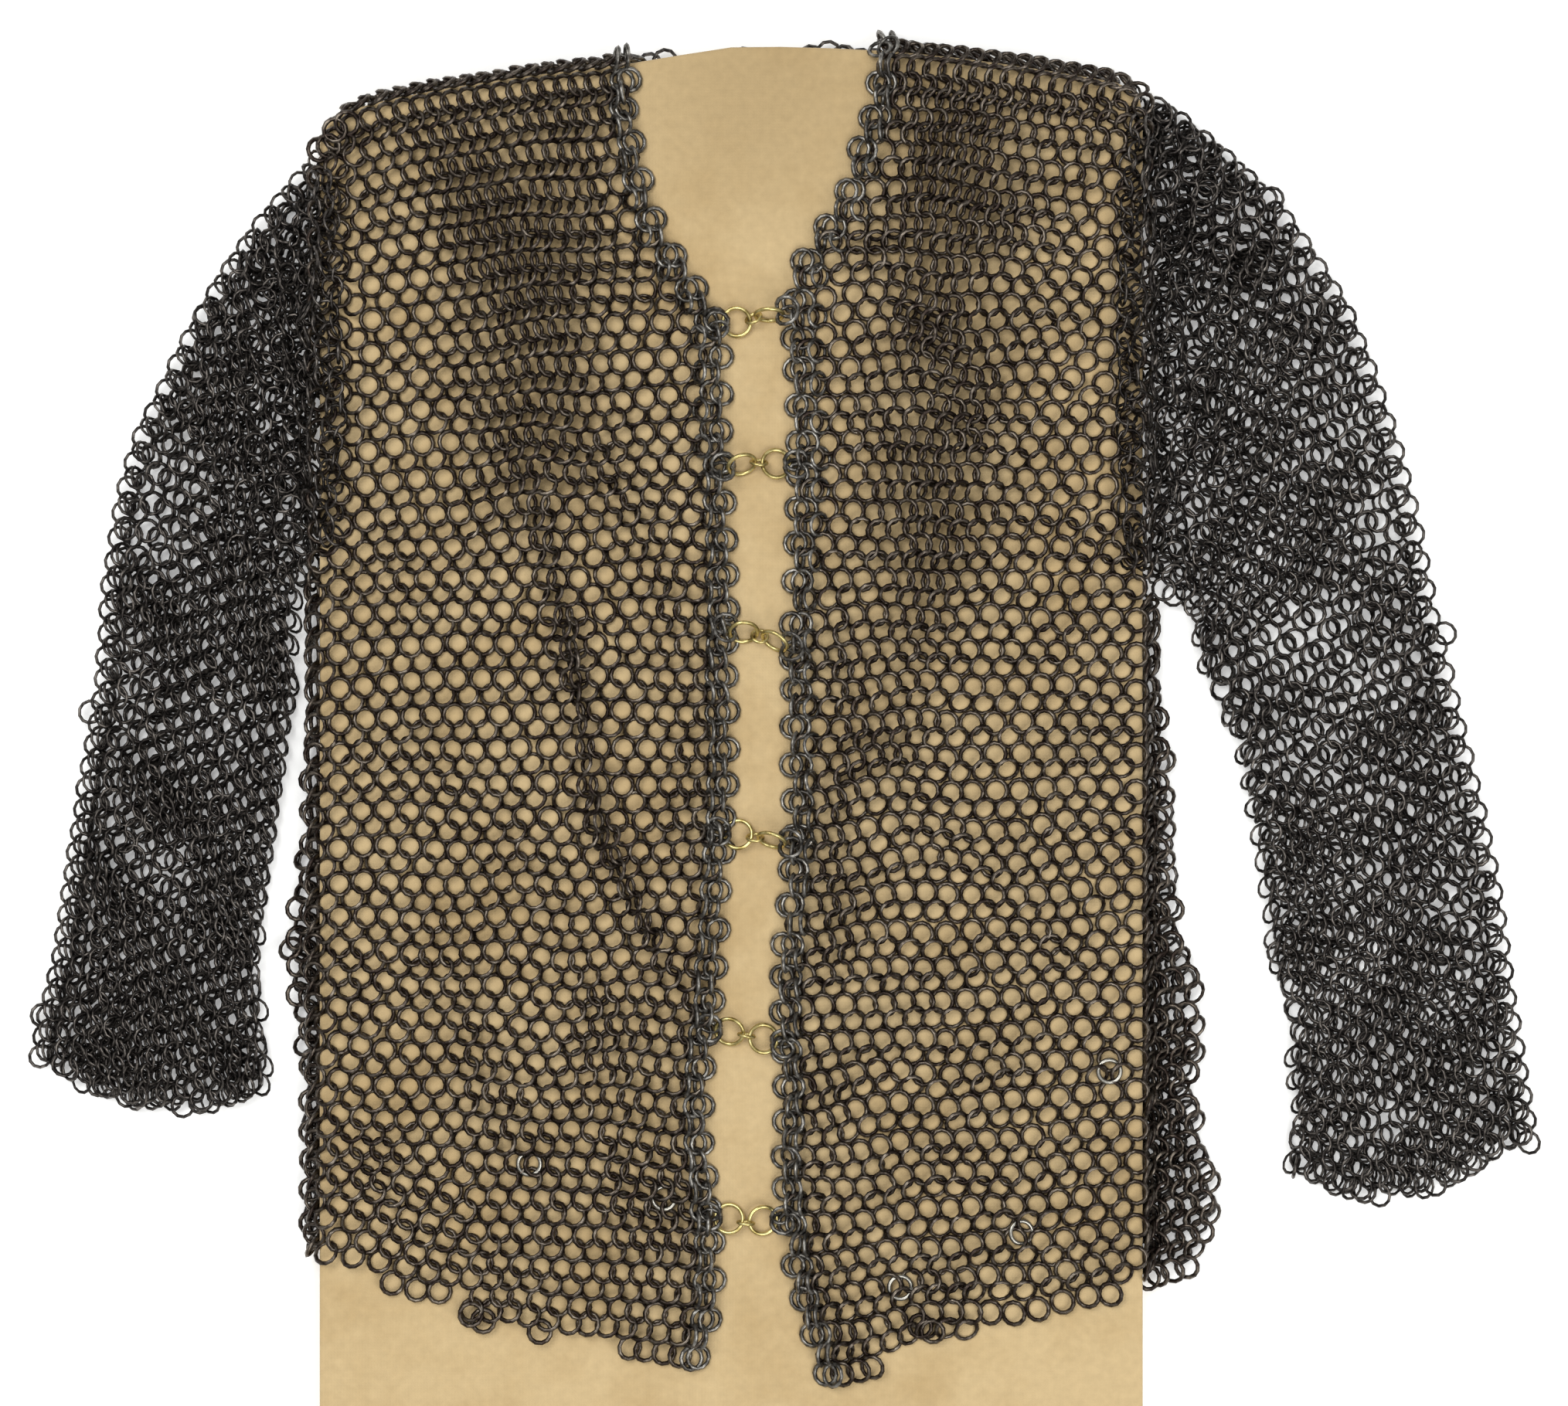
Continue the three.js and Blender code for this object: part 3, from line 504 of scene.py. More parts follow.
def back_rings(size, lower):
    """The lower or the upper half of the back, flat on what the shirt lies on."""
    pitch, row_pitch = BACK_PITCH

    def place(column, row):
        x = (column - BACK_RINGS[0] / 2) * pitch + 0 * row
        y = 42 + row * row_pitch + 0 * column
        x2 = x + 2.2 * ripple(31, 85, x, y)
        y2 = y + 2.2 * ripple(32, 85, x, y)
        return np.stack([x2, y2, 0 * x], axis=-1)

    column, row = lattice(*BACK_RINGS)
    point = place(column, row)
    keep = inside_by(back_outline(), point[:, 0], point[:, 1]) > 5.5
    keep &= (row <= BACK_HALF) if lower else (row > BACK_HALF)
    body = lay_rings(place, column[keep], row[keep], size, 131 + lower, lean=2.6, play=0.5, raised=0.92,
                     most_lean=0.2)
    return body if lower else join_rings(body, stray_rings(NECK, 4.0, 231))


def walk(points, at):
    """Points at lengths along a line of points, carried straight on past its ends."""
    points = np.array(points, float)
    length = np.concatenate([[0], np.cumsum(np.hypot(*np.diff(points, axis=0).T))])
    x = np.interp(at, length, points[:, 0])
    y = np.interp(at, length, points[:, 1])
    last = unit(points[-1] - points[-4])
    first = unit(points[1] - points[0])
    over = np.maximum(at - length[-1], 0)
    under = np.minimum(at, 0)
    return x + last[0] * over + first[0] * under, y + last[1] * over + first[1] * under


def row_ends(sleeve):
    """Where each row starts at the outer fold, and how far in it runs to the inner fold or the armhole."""
    folds = np.array(sleeve["folds"], float)
    outer = folds[:-1, :2].copy()
    way = unit(np.gradient(outer, axis=0))
    outer -= np.stack([-way[:, 1], way[:, 0]], axis=-1) * 2.4
    inner = np.concatenate([[[243, 2000], folds[0, 2:]], folds[1:, 2:], [[folds[-1, 2] - 2, 60]]])
    along = [-24.0]
    spacing = np.array(sleeve["row_spacing"], float)
    while along[-1] < 800:
        along.append(along[-1] + float(np.interp(along[-1], spacing[:, 0], spacing[:, 1])))
    along = np.array(along)
    start_x, start_y = walk(outer, along)
    slope = math.radians(sleeve["row_slope"])
    inward = np.array([-math.cos(slope), math.sin(slope)])
    start = inner[:-1]
    step = inner[1:] - inner[:-1]
    run = []
    for x, y in zip(start_x, start_y):
        cross = inward[0] * step[:, 1] - inward[1] * step[:, 0]
        gap = start - np.array([x, y])
        far = (gap[:, 0] * step[:, 1] - gap[:, 1] * step[:, 0]) / cross
        part = (gap[:, 0] * inward[1] - gap[:, 1] * inward[0]) / cross
        hits = far[(part >= 0) & (part <= 1) & (far > -5)]
        run.append(float(hits.min()) if len(hits) else 0.0)
    run = np.array(run)
    end_y = start_y + run * inward[1]
    at_armhole = smooth_step(folds[0, 3] - 12, folds[0, 3] + 6, end_y)
    return start_x, start_y, run, at_armhole, inward


def bunched_at(sleeve, end_y):
    """How full the folds beside the board are where a row ends: none at the armpit and the shoulder."""
    low = sleeve["folds"][0][3]
    high = sleeve["folds"][0][1]
    return smooth_step(low - 6, low + 50, end_y) * smooth_step(high - 14, high - 96, end_y)


def sleeve_place(sleeve):
    """Place of a sleeve's rings. Columns count from the outer fold: above zero on top, below it under."""
    side = sleeve["side"]
    start_x, start_y, run, at_armhole, inward = row_ends(sleeve)
    rows = np.arange(len(run))
    fold_radius = 2.7
    middle = 6.1
    quarter = fold_radius * math.pi / 2
    pitch = sleeve["column_pitch"]
    bunch = Path(BUNCH)
    bunch_run = bunch.length[-1]
    seed = 51 + side * 5

    def place(column, row):
        # Rows lie in pairs, as closed up mail does
        paired = row - 0.21 * np.cos(np.pi * row)
        x0 = np.interp(paired, rows, start_x)
        y0 = np.interp(paired, rows, start_y)
        length = np.interp(row, rows, run)
        armhole = np.interp(row, rows, at_armhole)
        full = bunched_at(sleeve, y0 + length * inward[1]) * armhole
        # Round the outer fold
        way = np.abs(column) * pitch
        top = column > 0
        turn = np.minimum(way, quarter) / fold_radius
        into = np.where(way < quarter, fold_radius * (1 - np.cos(turn)), fold_radius + way - quarter)
        height = fold_radius * np.sin(turn)
        # Beside the board the upper layer runs on in folds, and elsewhere it turns under at the inner fold
        flat_run = length - BUNCH[0][0]
        folded_run = BUNCH[0][0] + (bunch_run - BUNCH[0][0]) * full
        part = np.clip((into - flat_run) / folded_run, 0, 1)
        folded_out, folded_z = bunch.read(part * bunch_run)
        flat_out = BUNCH[0][0] + (BUNCH[-1][0] - BUNCH[0][0]) * part
        folded_out = flat_out + (folded_out - flat_out) * full
        folded = top & (part > 0) & (armhole > 0.02)
        over = np.clip((into - length + fold_radius) / fold_radius, 0, math.pi / 2)
        turned = (~folded) & (over > 0)
        height = np.where(turned, fold_radius * np.cos(over), height)
        into = np.where(turned, length - fold_radius + fold_radius * np.sin(over), into)
        z = middle + np.where(top, height, -height)
        into = np.where(folded, length - folded_out, into)
        z = np.where(folded, z + (folded_z - z) * full, z)
        x = x0 + inward[0] * into
        y = y0 + inward[1] * into
        # Uneven lie of the mail away from its folds
        middling = smooth_step(0, 22, into) * smooth_step(0, 18, length - into)
        x = x + 2.6 * middling * ripple(seed, 70, x, y) + 3.0 * folded * full * ripple(seed + 9, 40, x, y)
        y = y + 3.0 * middling * ripple(seed + 4, 64, x, y)
        # Both layers spread at the open spots, and elsewhere the lower one shows between the upper's rings
        closed = np.ones_like(x)
        for spot_x, spot_y, size in sleeve["open_spots"]:
            from_x = x - abs(spot_x)
            from_y = y - spot_y
            near = np.exp(-(from_x**2 + from_y**2) / size**2)
            closed = closed * (1 - near)
            x = x + 0.30 * middling * from_x * near
            y = y + 0.30 * middling * from_y * near
        drift = np.where(top, 0, 1) * smooth_step(6, 40, into) * closed
        x = x + drift * 3.0 * (1 + 0.6 * ripple(seed + 11, 90, x, y))
        y = y - drift * 3.0 * (1 + 0.6 * ripple(seed + 12, 90, x, y))
        z = z + np.where(top, 1.3, 0) * (1 + ripple(seed + 6, 55, x, y)) * middling * (1 - full * folded)
        return np.stack([side * x, y, z], axis=-1)

    return place


def cuff_inset(sleeve, x, y):
    """Distance above the cuff's bowed edge."""
    folds = np.array(sleeve["folds"], float)
    outer = folds[-1, :2]
    inner = folds[-1, 2:]
    chord = inner - outer
    across = ((np.abs(x) - outer[0]) * chord[0] + (y - outer[1]) * chord[1]) / chord.dot(chord)
    edge = outer[1] + chord[1] * across - sleeve["cuff_bow"] * np.sin(np.pi * np.clip(across, 0, 1))
    return y - edge


def sleeve_rings(sleeve, size):
    side = sleeve["side"]
    place = sleeve_place(sleeve)
    _, start_y, run, at_armhole, inward = row_ends(sleeve)
    pitch = sleeve["column_pitch"]
    row, column = np.meshgrid(
        np.arange(1, len(run) - 2, dtype=float), np.arange(-26, 34, dtype=float), indexing="ij")
    column = (column + 0.5 * (row % 2)).ravel()
    row = row.ravel()
    point = place(column, row)
    length = np.interp(row, np.arange(len(run)), run)
    armhole = np.interp(row, np.arange(len(run)), at_armhole)
    into = np.abs(column) * pitch - 1.5
    end_y = np.interp(row, np.arange(len(run)), start_y) + length * inward[1]
    extra = (Path(BUNCH).length[-1] - BUNCH[0][0]) * bunched_at(sleeve, end_y) * armhole
    keep = (length > -1) & (into < length + np.where(column > 0, extra, 0) - 2.0 * (armhole < 0.5))
    keep &= cuff_inset(sleeve, point[:, 0], point[:, 1]) > 5.4
    keep &= (point[:, 1] < sleeve["folds"][0][1] + 9) & (np.abs(point[:, 0]) > HALF_BOARD - 4)
    column, row, into, length, armhole = (values[keep] for values in (column, row, into, length, armhole))
    near_fold = (np.abs(column) < 0.8) | ((length - into < 7) & (armhole < 0.5))
    bunched = (column > 0) & (into > length - 50) & (armhole > 0.5)
    play = np.where(bunched, 2.2, 0.85) * np.where(near_fold, 0.8, 1)
    groups = [lay_rings(place, column, row, size, 150 + side, out_sign=float(side),
                        lean=np.where(near_fold, 8.6, 5.6), play=play, raised=0.0)]
    groups.append(armhole_roll(sleeve, size))
    groups.append(stray_rings(sleeve["strays"], 7.0, 205 + side))
    return join_rings(*groups)


def stray_rings(places, height, seed):
    """Single rings that lie nearly flat: x, y and turn in degrees."""
    chance = np.random.default_rng(seed)
    centre = np.array([[x, y, height + chance.uniform(0, 3)] for x, y, turn in places])
    turn = np.radians([turn for x, y, turn in places])
    tilt = chance.uniform(-0.3, 0.3, len(places))
    across = np.stack([np.cos(turn) * np.cos(tilt), np.sin(turn) * np.cos(tilt), np.sin(tilt)], axis=-1)
    along = np.stack([-np.sin(turn), np.cos(turn), np.zeros(len(places))], axis=-1)
    return centre, across, along


def armhole_roll(sleeve, size):
    """The fold of mail that rolls up over the board's edge at the armhole."""
    side = sleeve["side"]
    armpit = sleeve["folds"][0][3]
    shoulder = sleeve["folds"][0][1]

    def place(column, row):
        y = armpit + 14 + row * ROLL_PITCH + 0 * column
        top = (shoulder - armpit - 14) / ROLL_PITCH
        ease = smooth_step(0, 5, row) * smooth_step(top - 5, top - 13, row)
        out = HALF_BOARD - 9 + column * 6.5 + 1.6 * ripple(61 + side, 50, y, y)
        crest = 7.5 * ease * np.exp(-((column - 1.2) / 1.3) ** 2) - 2.2 * np.maximum(column - 1.5, 0)
        return np.stack([side * out, y, SUPPORT + crest], axis=-1)

    rows = int((shoulder - armpit - 34) / ROLL_PITCH)
    column, row = lattice(1, rows)
    return lay_rings(place, column, row, size, 191 + side, out_sign=float(side), lean=5.2, play=1.8)


# Materials
def linear(hex_colour):
    """An sRGB hex colour as linear red, green, blue and alpha."""
    values = [int(hex_colour[i:i + 2], 16) / 255 for i in (1, 3, 5)]
    return tuple(v / 12.92 if v <= 0.04045 else ((v + 0.055) / 1.055) ** 2.4 for v in values) + (1.0,)


def add_node(tree, kind, settings=(), links=()):
    """Adds a node, sets its properties and sockets, and links sockets of other nodes into it."""
    node = tree.nodes.new(kind)
    for name, value in dict(settings).items():
        if hasattr(node, name) and name not in node.inputs:
            setattr(node, name, value)
        else:
            node.inputs[name].default_value = value
    for name, source in dict(links).items():
        tree.links.new(source, node.inputs[name])
    return node


def new_material(name):
    material = bpy.data.materials.new(name)
    material.use_nodes = True
    tree = material.node_tree
    tree.nodes.clear()
    output = tree.nodes.new("ShaderNodeOutputMaterial")
    shader = tree.nodes.new("ShaderNodeBsdfPrincipled")
    tree.links.new(shader.outputs["BSDF"], output.inputs["Surface"])
    return material, tree, shader


def oxidised_iron_wire(dark, light, name):
    """Drawn iron wire, darkened by age: a brown black skin that handling has rubbed to grey in places."""
    material, tree, shader = new_material(name)
    where = add_node(tree, "ShaderNodeTexCoord")
    # Rubbed places about 5 mm long, an eighth of the way round a ring
    wear = add_node(tree, "ShaderNodeTexNoise", {"Scale": 1 / 0.005, "Detail": 2.0, "Roughness": 0.6},
                    {"Vector": where.outputs["Object"]})
    colour = add_node(tree, "ShaderNodeValToRGB", {}, {"Fac": wear.outputs["Fac"]})
    colour.color_ramp.elements[0].position = 0.42
    colour.color_ramp.elements[0].color = dark
    colour.color_ramp.elements[1].position = 0.72
    colour.color_ramp.elements[1].color = light
    tree.links.new(colour.outputs["Color"], shader.inputs["Base Color"])
    # Pitting along the wire, 0.8 mm, as coarse as shows in the render
    pits = add_node(tree, "ShaderNodeTexNoise", {"Scale": 1 / 0.0008, "Detail": 2.0},
                    {"Vector": where.outputs["Object"]})
    rough = add_node(tree, "ShaderNodeMapRange", {"To Min": 0.44, "To Max": 0.30},
                     {"Value": wear.outputs["Fac"]})
    tree.links.new(rough.outputs["Result"], shader.inputs["Roughness"])
    bump = add_node(tree, "ShaderNodeBump", {"Strength": 0.25, "Distance": 0.0002},
                    {"Height": pits.outputs["Fac"]})
    tree.links.new(bump.outputs["Normal"], shader.inputs["Normal"])
    shader.inputs["Metallic"].default_value = 0.85
    return material


def worn_brass_wire(bright, dull):
    """Drawn brass wire: pale and bright where it is rubbed, olive brown in the hollows."""
    material, tree, shader = new_material("worn brass wire")
    where = add_node(tree, "ShaderNodeTexCoord")
    # Tarnish in patches of about 6 mm
    tarnish = add_node(tree, "ShaderNodeTexNoise", {"Scale": 1 / 0.006, "Detail": 3.0, "Roughness": 0.6},
                       {"Vector": where.outputs["Object"]})
    colour = add_node(tree, "ShaderNodeValToRGB", {}, {"Fac": tarnish.outputs["Fac"]})
    colour.color_ramp.elements[0].position = 0.34
    colour.color_ramp.elements[0].color = dull
    colour.color_ramp.elements[1].position = 0.56
    colour.color_ramp.elements[1].color = bright
    tree.links.new(colour.outputs["Color"], shader.inputs["Base Color"])
    shader.inputs["Metallic"].default_value = 0.9
    shader.inputs["Roughness"].default_value = 0.34
    return material


def tan_linen(base, stain, worn_place):
    """Plain woven linen pulled over a board: matt, with slubs, a faint weave and old stains.

    Worn place is the middle of the darkest stain, behind the neck.
    """
    material, tree, shader = new_material("tan woven linen")
    where = add_node(tree, "ShaderNodeTexCoord")
    # Threads 0.9 mm apart each way: finer cloth would not show at the render's size
    weave = add_node(tree, "ShaderNodeMath", {"operation": "MAXIMUM"})
    for number, direction in enumerate(("X", "Y")):
        threads = add_node(tree, "ShaderNodeTexWave",
                           {"wave_type": "BANDS", "bands_direction": direction,
                            "Scale": 1 / 0.0009 / 20 * 3.1416, "Distortion": 1.2, "Detail": 2.0,
                            "Detail Scale": 1.5},
                           {"Vector": where.outputs["Object"]})
        tree.links.new(threads.outputs["Fac"], weave.inputs[number])
    # Mottling in clouds of about 60 mm, and slubs of 5 mm
    clouds = add_node(tree, "ShaderNodeTexNoise", {"Scale": 1 / 0.060, "Detail": 5.0, "Roughness": 0.6},
                      {"Vector": where.outputs["Object"]})
    slubs = add_node(tree, "ShaderNodeTexNoise", {"Scale": 1 / 0.005, "Detail": 3.0},
                     {"Vector": where.outputs["Object"]})
    colour = add_node(tree, "ShaderNodeValToRGB", {}, {"Fac": clouds.outputs["Fac"]})
    colour.color_ramp.elements[0].position = 0.30
    colour.color_ramp.elements[0].color = stain
    colour.color_ramp.elements[1].position = 0.58
    colour.color_ramp.elements[1].color = base
    # A soft darker stain of about 150 mm behind the neck
    away = add_node(tree, "ShaderNodeVectorMath", {"operation": "DISTANCE"})
    tree.links.new(where.outputs["Object"], away.inputs[0])
    away.inputs[1].default_value = worn_place
    soiled = add_node(tree, "ShaderNodeMapRange",
                      {"interpolation_type": "SMOOTHSTEP", "From Min": 0.01, "From Max": 0.13,
                       "To Min": 0.7, "To Max": 0.0}, {"Value": away.outputs["Value"]})
    neck = add_node(tree, "ShaderNodeMixRGB", {"blend_type": "MIX"},
                    {"Fac": soiled.outputs["Result"], "Color1": colour.outputs["Color"]})
    neck.inputs["Color2"].default_value = tuple(0.80 * v for v in stain[:3]) + (1.0,)
    fine = add_node(tree, "ShaderNodeMixRGB", {"blend_type": "MULTIPLY", "Fac": 0.22},
                    {"Color1": neck.outputs["Color"], "Color2": slubs.outputs["Fac"]})
    tree.links.new(fine.outputs["Color"], shader.inputs["Base Color"])
    bump = add_node(tree, "ShaderNodeBump", {"Strength": 0.35, "Distance": 0.0004},
                    {"Height": weave.outputs["Value"]})
    tree.links.new(bump.outputs["Normal"], shader.inputs["Normal"])
    shader.inputs["Roughness"].default_value = 0.95
    shader.inputs["Sheen Weight"].default_value = 0.15
    return material


def matt_white_paper():
    """Seamless white backing paper that glows a little, painted light that keeps it white in the mail's
    shade: no gloss and no grain.
    """
    material, _, shader = new_material("matt white paper")
    shader.inputs["Base Color"].default_value = linear("#F6F6F4")
    shader.inputs["Roughness"].default_value = 1.0
    shader.inputs["Specular IOR Level"].default_value = 0.1
    # Painted light: a faint glow keeps the paper white where the mail shades it
    shader.inputs["Emission Color"].default_value = (1.0, 1.0, 1.0, 1.0)
    shader.inputs["Emission Strength"].default_value = 0.26
    return material


# What a user may change
def length_property(name, description, default, precision=5):
    return FloatProperty(name=name, description=description, default=default, unit="LENGTH",
                         precision=precision)


def colour_property(name, description, hex_colour):
    return FloatVectorProperty(name=name, description=description, subtype="COLOR", size=4,
                               default=linear(hex_colour))


class MailSettings(bpy.types.PropertyGroup):
    ring_radius: length_property("Ring radius", "From a ring's middle to the middle of its wire", 0.0066, 4)
    wire_radius: length_property("Wire radius", "Half the thickness of the iron wire", 0.00134)
    sleeve_wire: length_property("Wire radius, sleeves", "Half the thickness of the sleeves' wire", 0.00100)
    around: IntProperty(name="Steps around", description="Straight steps in one ring", default=12,
                        min=6, max=24)
    sides: IntProperty(name="Wire sides", description="Sides of the wire's section", default=4,
                       min=3, max=8)
    dark: colour_property("Dark iron", "Colour of the oxidised skin", "#282422")
    light: colour_property("Worn iron", "Colour of the rubbed wire", "#736D67")
    # The fronts' colours are darker and browner: a painted reflection of the linen under the rings
    front_reflection_dark: colour_property("Dark iron, fronts", "Darker, browner iron of the fronts: painted reflection of the linen", "#2E2520")
    front_reflection_light: colour_property("Worn iron with painted reflection, fronts", "Rubbed wire of the fronts, browner for a painted reflection of the linen", "#786F64")
    # The front edges' colours are greyer and lighter: a painted highlight
    edge_highlight_dark: colour_property("Dark iron, edges", "Greyer iron of the front edges: a painted highlight", "#4A4743")
    edge_highlight_light: colour_property("Highlit iron, edges", "Rubbed wire of the front edges, lighter for a painted highlight", "#A6A39C")
    # Single rings painted brighter: a painted highlight
    bright: colour_property("Bright iron", "Single rings painted bright all round as a highlight", "#A19E95")


class ClaspSettings(bpy.types.PropertyGroup):
    bright: colour_property("Bright brass", "Colour of the rubbed brass", "#D9C98A")
    dull: colour_property("Dull brass", "Colour of the tarnish", "#8D7B45")


class BoardSettings(bpy.types.PropertyGroup):
    linen: colour_property("Linen", "Colour of the clean cloth", "#D3B98A")
    stain: colour_property("Stain", "Colour of the darker clouds", "#C3A777")


class StageSettings(bpy.types.PropertyGroup):
    softbox_power: FloatProperty(name="Softbox power", description="Strength of the large soft light",
                                 default=46.0, unit="POWER")
    sky: FloatProperty(name="Room light", description="Strength of the even light from all round",
                       default=0.42)


def new_piece(name, mesh, material):
    piece = bpy.data.objects.new(name, mesh)
    bpy.context.collection.objects.link(piece)
    piece.data.materials.append(material)
    return piece


def iron(front):
    settings = bpy.context.scene.shirt_mail
    # The fronts get a darker, browner copy of the iron: a painted reflection of the linen under the rings
    name = "iron wire with painted linen reflection" if front else "oxidised iron wire"
    found = bpy.data.materials.get(name)
    dark = settings.front_reflection_dark if front else settings.dark
    light = settings.front_reflection_light if front else settings.light
    return found or oxidised_iron_wire(tuple(dark), tuple(light), name)


def highlight_edge_iron():
    """Greyer, lighter copy of the iron for the front edges: a painted highlight, with rubbed places as on
    the rest.
    """
    settings = bpy.context.scene.shirt_mail
    # Greyer, lighter colours: a painted highlight on the front edges
    name = "iron wire with painted edge highlight"
    found = bpy.data.materials.get(name)
    return found or oxidised_iron_wire(tuple(settings.edge_highlight_dark), tuple(settings.edge_highlight_light), name)


def painted_highlight_iron():
    """Iron wire painted bright all round: a painted highlight."""
    material, _, shader = new_material("bright iron wire with painted highlight")
    shader.inputs["Base Color"].default_value = tuple(bpy.context.scene.shirt_mail.bright)
    shader.inputs["Metallic"].default_value = 0.95
    shader.inputs["Roughness"].default_value = 0.32
    return material


def mail_piece(name, rings, around, sides):
    settings = bpy.context.scene.shirt_mail
    centres, across, along = rings
    tilt = np.hypot(across[:, 2], along[:, 2])
    lowest = centres[:, 2] - settings.ring_radius * 1000 * tilt - settings.wire_radius * 1000
    centres[:, 2] += np.maximum(CLEAR_OF_FLOOR - lowest, 0)
    wire = settings.sleeve_wire if name.startswith("mail_sleeve") else settings.wire_radius
    mesh = ring_mesh(name, centres, across, along, settings.ring_radius * 1000, wire * 1000, around, sides)
    piece = new_piece(name, mesh, iron(name.startswith("mail_front")))
    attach(piece, "root")
    return piece


def paint_edge_highlight(piece, inner_faces):
    """The rings down the front edge get a greyer, lighter iron than those of the panel: a painted highlight.
    """
    piece.data.materials.append(highlight_edge_iron())
    slots = np.zeros(len(piece.data.polygons), dtype=np.int32)
    slots[inner_faces:] = 1
    piece.data.polygons.foreach_set("material_index", slots)


def ring_size():
    settings = bpy.context.scene.shirt_mail
    return settings.ring_radius * 1000, settings.wire_radius * 1000


class SHIRT_OT_fronts(bpy.types.Operator):
    """Lay the two front panels of mail over the board"""
    bl_idname = "shirt.fronts"
    bl_label = "Front panels"

    def execute(self, context):
        settings = context.scene.shirt_mail
        for panel in (FRONT_RIGHT, FRONT_LEFT):
            rings, inner = front_rings(panel, ring_size())
            piece = mail_piece(panel["name"], rings, settings.around, settings.sides)
            # The front edge's rings take the iron with the painted highlight
            paint_edge_highlight(piece, inner * settings.around * settings.sides)
            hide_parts(panel["node"])
        # Single rings of brighter iron: a painted highlight
        worn = mail_piece("mail_highlit_rings", stray_rings(HIGHLIT_RINGS, SUPPORT + 1.4, 241), *HIGHLIT_RING_STEPS)
        worn.data.materials.clear()
        worn.data.materials.append(painted_highlight_iron())
        return {"FINISHED"}


class SHIRT_OT_sleeves(bpy.types.Operator):
    """Lay out the two sleeves of mail, flattened, beside the body"""
    bl_idname = "shirt.sleeves"
    bl_label = "Sleeves"

    def execute(self, context):
        settings = context.scene.shirt_mail
        for sleeve in (SLEEVE_RIGHT, SLEEVE_LEFT):
            rings = sleeve_rings(sleeve, ring_size())
            piece = mail_piece(sleeve["name"], rings, settings.around - 1, settings.sides)
            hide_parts(sleeve["node"])
        return {"FINISHED"}


class SHIRT_OT_back(bpy.types.Operator):
    """Lay the back panel of mail under the board, in an upper and a lower half"""
    bl_idname = "shirt.back"
    bl_label = "Back panel"

    def execute(self, context):
        for lower in (True, False):
            rings = back_rings(ring_size(), lower)
            name = "mail_back_lower" if lower else "mail_back_upper"
            mail_piece(name, rings, *BACK_STEPS)
        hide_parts("back")
        return {"FINISHED"}


def clasp_places(clasp):
    """Centre and turn of a clasp's link and of its two rings, as the frame's solids have them."""
    x, height, right_roll, right_yaw, left_roll, left_yaw = clasp
    ring_radius, ring_wire = CLASP_RING
    link_radius, link_wire = CLASP_LINK
    grip = link_radius - link_wire - CLASP_PLAY - ring_wire
    arm = grip + ring_radius
    link_roll = math.radians((right_roll + left_roll) / 2)
    joint = Vector((x, height, SUPPORT + link_radius * math.cos(link_roll) + link_wire))
    places = {}
    for name, side, roll, yaw in (("right", -1, right_roll, right_yaw), ("left", 1, left_roll, left_yaw)):
        roll = math.radians(roll)
        # The ring dips until it rests on the front, found in small steps
        pitch = 0.0
        for _ in range(30):
            tilt = math.sqrt(1 - (math.cos(pitch) * math.cos(roll)) ** 2)
            lowest = joint.z + arm * math.sin(pitch) - ring_radius * tilt - ring_wire
            pitch += 0.4 * (SUPPORT - lowest) / arm
        turn = (Quaternion((0, 0, 1), math.radians(yaw)) @ Quaternion((0, 1, 0), -side * pitch)
                @ Quaternion((1, 0, 0), roll))
        places[name] = (joint + turn @ Vector((side * arm, 0, 0)), turn)
    wires = places["right"][1] @ Vector((0, 1, 0)) + places["left"][1] @ Vector((0, 1, 0))
    places["link"] = (joint, Vector((0, 0, 1)).rotation_difference(wires.normalized()))
    return places


class SHIRT_OT_clasps(bpy.types.Operator):
    """Make the six brass ring clasps down the front"""
    bl_idname = "shirt.clasps"
    bl_label = "Clasps"

    def execute(self, context):
        settings = context.scene.shirt_clasp
        brass = worn_brass_wire(tuple(settings.bright), tuple(settings.dull))
        for number, clasp in enumerate(CLASPS, start=1):
            for part, (centre, turn) in clasp_places(clasp).items():
                radius, wire = CLASP_LINK if part == "link" else CLASP_RING
                across = np.array([turn @ Vector((1, 0, 0))])
                along = np.array([turn @ Vector((0, 1, 0))])
                node = f"clasp_{number}_link" if part == "link" else f"clasp_{number}_ring_{part}"
                mesh = ring_mesh(f"brass_{node}", np.array([centre]), across, along, radius + CLASP_STOUTER,
                                 wire + CLASP_STOUTER, *CLASP_STEPS)
                piece = new_piece(f"brass_{node}", mesh, brass)
                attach(piece, "root")
                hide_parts(node)
        return {"FINISHED"}


class SHIRT_OT_board(bpy.types.Operator):
    """Cover the display board with linen"""
    bl_idname = "shirt.board"
    bl_label = "Linen of the board"

    def execute(self, context):
        settings = context.scene.shirt_board
        neck = (MIDDLE_X + 0.015, LOWER_Y + 0.80, BOARD_TOP / 1000)
        cloth = tan_linen(tuple(settings.linen), tuple(settings.stain), neck)
        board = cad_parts["board"]
        board.data.materials.clear()
        board.data.materials.append(cloth)
        return {"FINISHED"}


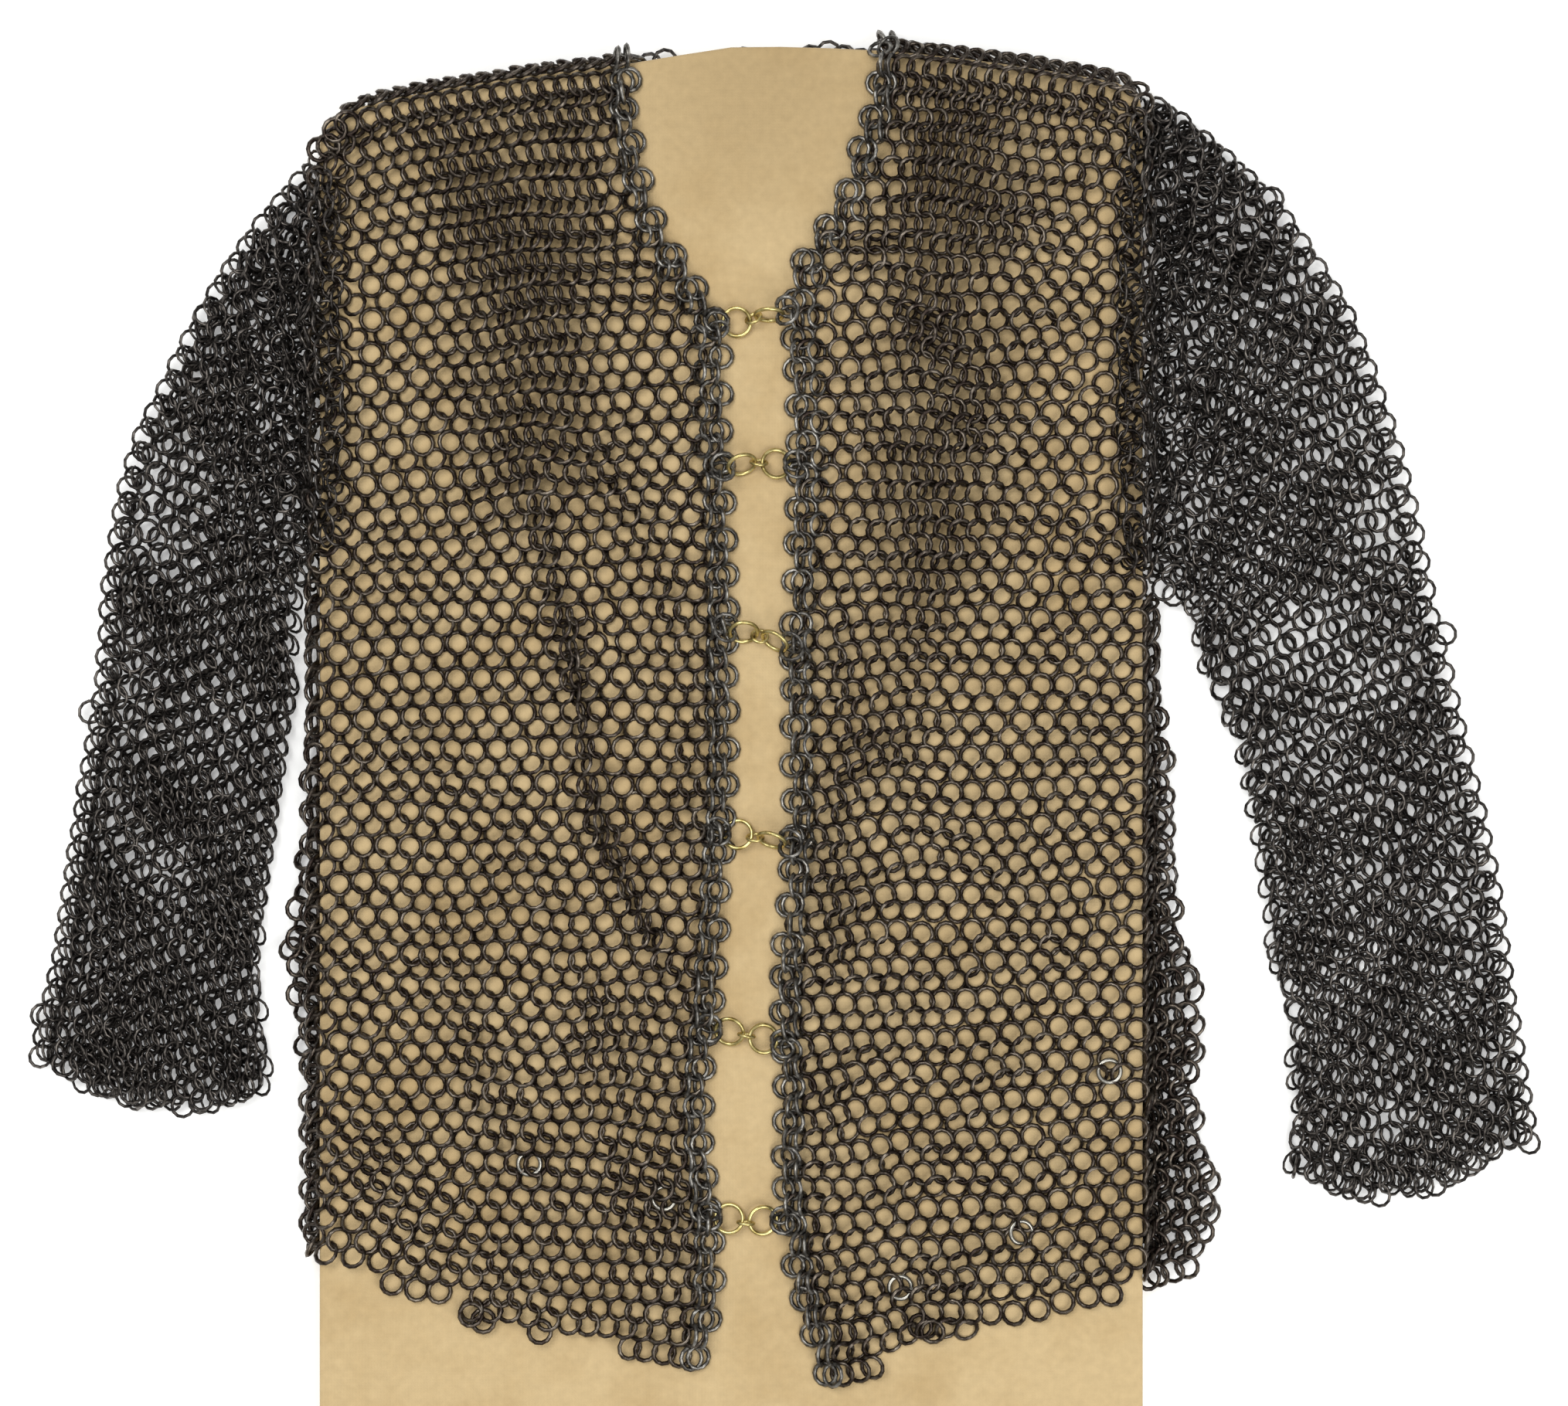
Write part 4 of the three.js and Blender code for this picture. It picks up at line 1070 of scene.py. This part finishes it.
class SHIRT_OT_stage(bpy.types.Operator):
    """Set the white floor, the soft lights and the camera straight above"""
    bl_idname = "shirt.stage"
    bl_label = "Floor, light and camera"

    def execute(self, context):
        settings = context.scene.shirt_stage
        mesh = bpy.data.meshes.new("floor")
        half = HALF_FLOOR
        corners = [(-half, -half, 0), (half, -half, 0), (half, half, 0), (-half, half, 0)]
        mesh.from_pydata(corners, [], [(0, 1, 2, 3)])
        floor = bpy.data.objects.new("floor", mesh)
        floor.location.z = FLOOR_HEIGHT
        floor.data.materials.append(matt_white_paper())
        context.collection.objects.link(floor)
        soft_light("softbox", settings.softbox_power, 1.5, Vector((-0.9, 0.9, 2.7)))
        soft_light("fill", settings.softbox_power * 0.95, 1.8, Vector((1.0, -1.3, 2.5)))
        world = bpy.data.worlds.new("studio")
        context.scene.world = world
        world.use_nodes = True
        background = world.node_tree.nodes["Background"]
        background.inputs["Color"].default_value = (1.0, 1.0, 1.0, 1.0)
        background.inputs["Strength"].default_value = settings.sky
        # The photograph's whites are white, so the colours are shown as they are
        context.scene.view_settings.view_transform = "Standard"
        camera = bpy.data.cameras.new("over the shirt")
        camera.sensor_width = SENSOR
        camera.lens = SENSOR * CAMERA_HEIGHT / PHOTO_WIDTH_ON_FLOOR
        camera.clip_end = 50
        holder = bpy.data.objects.new("over the shirt", camera)
        holder.location = (MIDDLE_X + CAMERA_FROM_MIDDLE, LOWER_Y + CAMERA_FROM_LOWER_EDGE, CAMERA_HEIGHT)
        context.collection.objects.link(holder)
        context.scene.camera = holder
        return {"FINISHED"}


def soft_light(name, power, size, place):
    light = bpy.data.lights.new(name, "AREA")
    light.energy = power
    light.size = size
    holder = bpy.data.objects.new(name, light)
    holder.location = place
    holder.rotation_euler = (-place).to_track_quat("-Z", "Y").to_euler()
    bpy.context.collection.objects.link(holder)


class SHIRT_PT_panel(bpy.types.Panel):
    """Lists the shirt's pieces and their settings"""
    bl_idname = "SHIRT_PT_panel"
    bl_label = "Mail shirt"
    bl_space_type = "VIEW_3D"
    bl_region_type = "UI"
    bl_category = "Mail shirt"

    def draw(self, context):
        for settings in (context.scene.shirt_mail, context.scene.shirt_clasp, context.scene.shirt_board,
                         context.scene.shirt_stage):
            box = self.layout.box()
            for name in settings.__annotations__:
                box.prop(settings, name)
        for operator in OPERATORS:
            self.layout.operator(operator.bl_idname)


SETTINGS = {
    "shirt_mail": MailSettings,
    "shirt_clasp": ClaspSettings,
    "shirt_board": BoardSettings,
    "shirt_stage": StageSettings,
}
OPERATORS = (
    SHIRT_OT_stage, SHIRT_OT_board, SHIRT_OT_back, SHIRT_OT_fronts, SHIRT_OT_sleeves, SHIRT_OT_clasps,
)


def register():
    for settings in SETTINGS.values():
        bpy.utils.register_class(settings)
    for operator in OPERATORS:
        bpy.utils.register_class(operator)
    bpy.utils.register_class(SHIRT_PT_panel)
    for name, settings in SETTINGS.items():
        setattr(bpy.types.Scene, name, PointerProperty(type=settings))


def unregister():
    for name in SETTINGS:
        delattr(bpy.types.Scene, name)
    bpy.utils.unregister_class(SHIRT_PT_panel)
    for operator in reversed(OPERATORS):
        bpy.utils.unregister_class(operator)
    for settings in reversed(list(SETTINGS.values())):
        bpy.utils.unregister_class(settings)


def main():
    register()
    bpy.ops.shirt.stage()
    bpy.ops.shirt.board()
    bpy.ops.shirt.back()
    bpy.ops.shirt.fronts()
    bpy.ops.shirt.sleeves()
    bpy.ops.shirt.clasps()


if __name__ == "__main__":
    main()
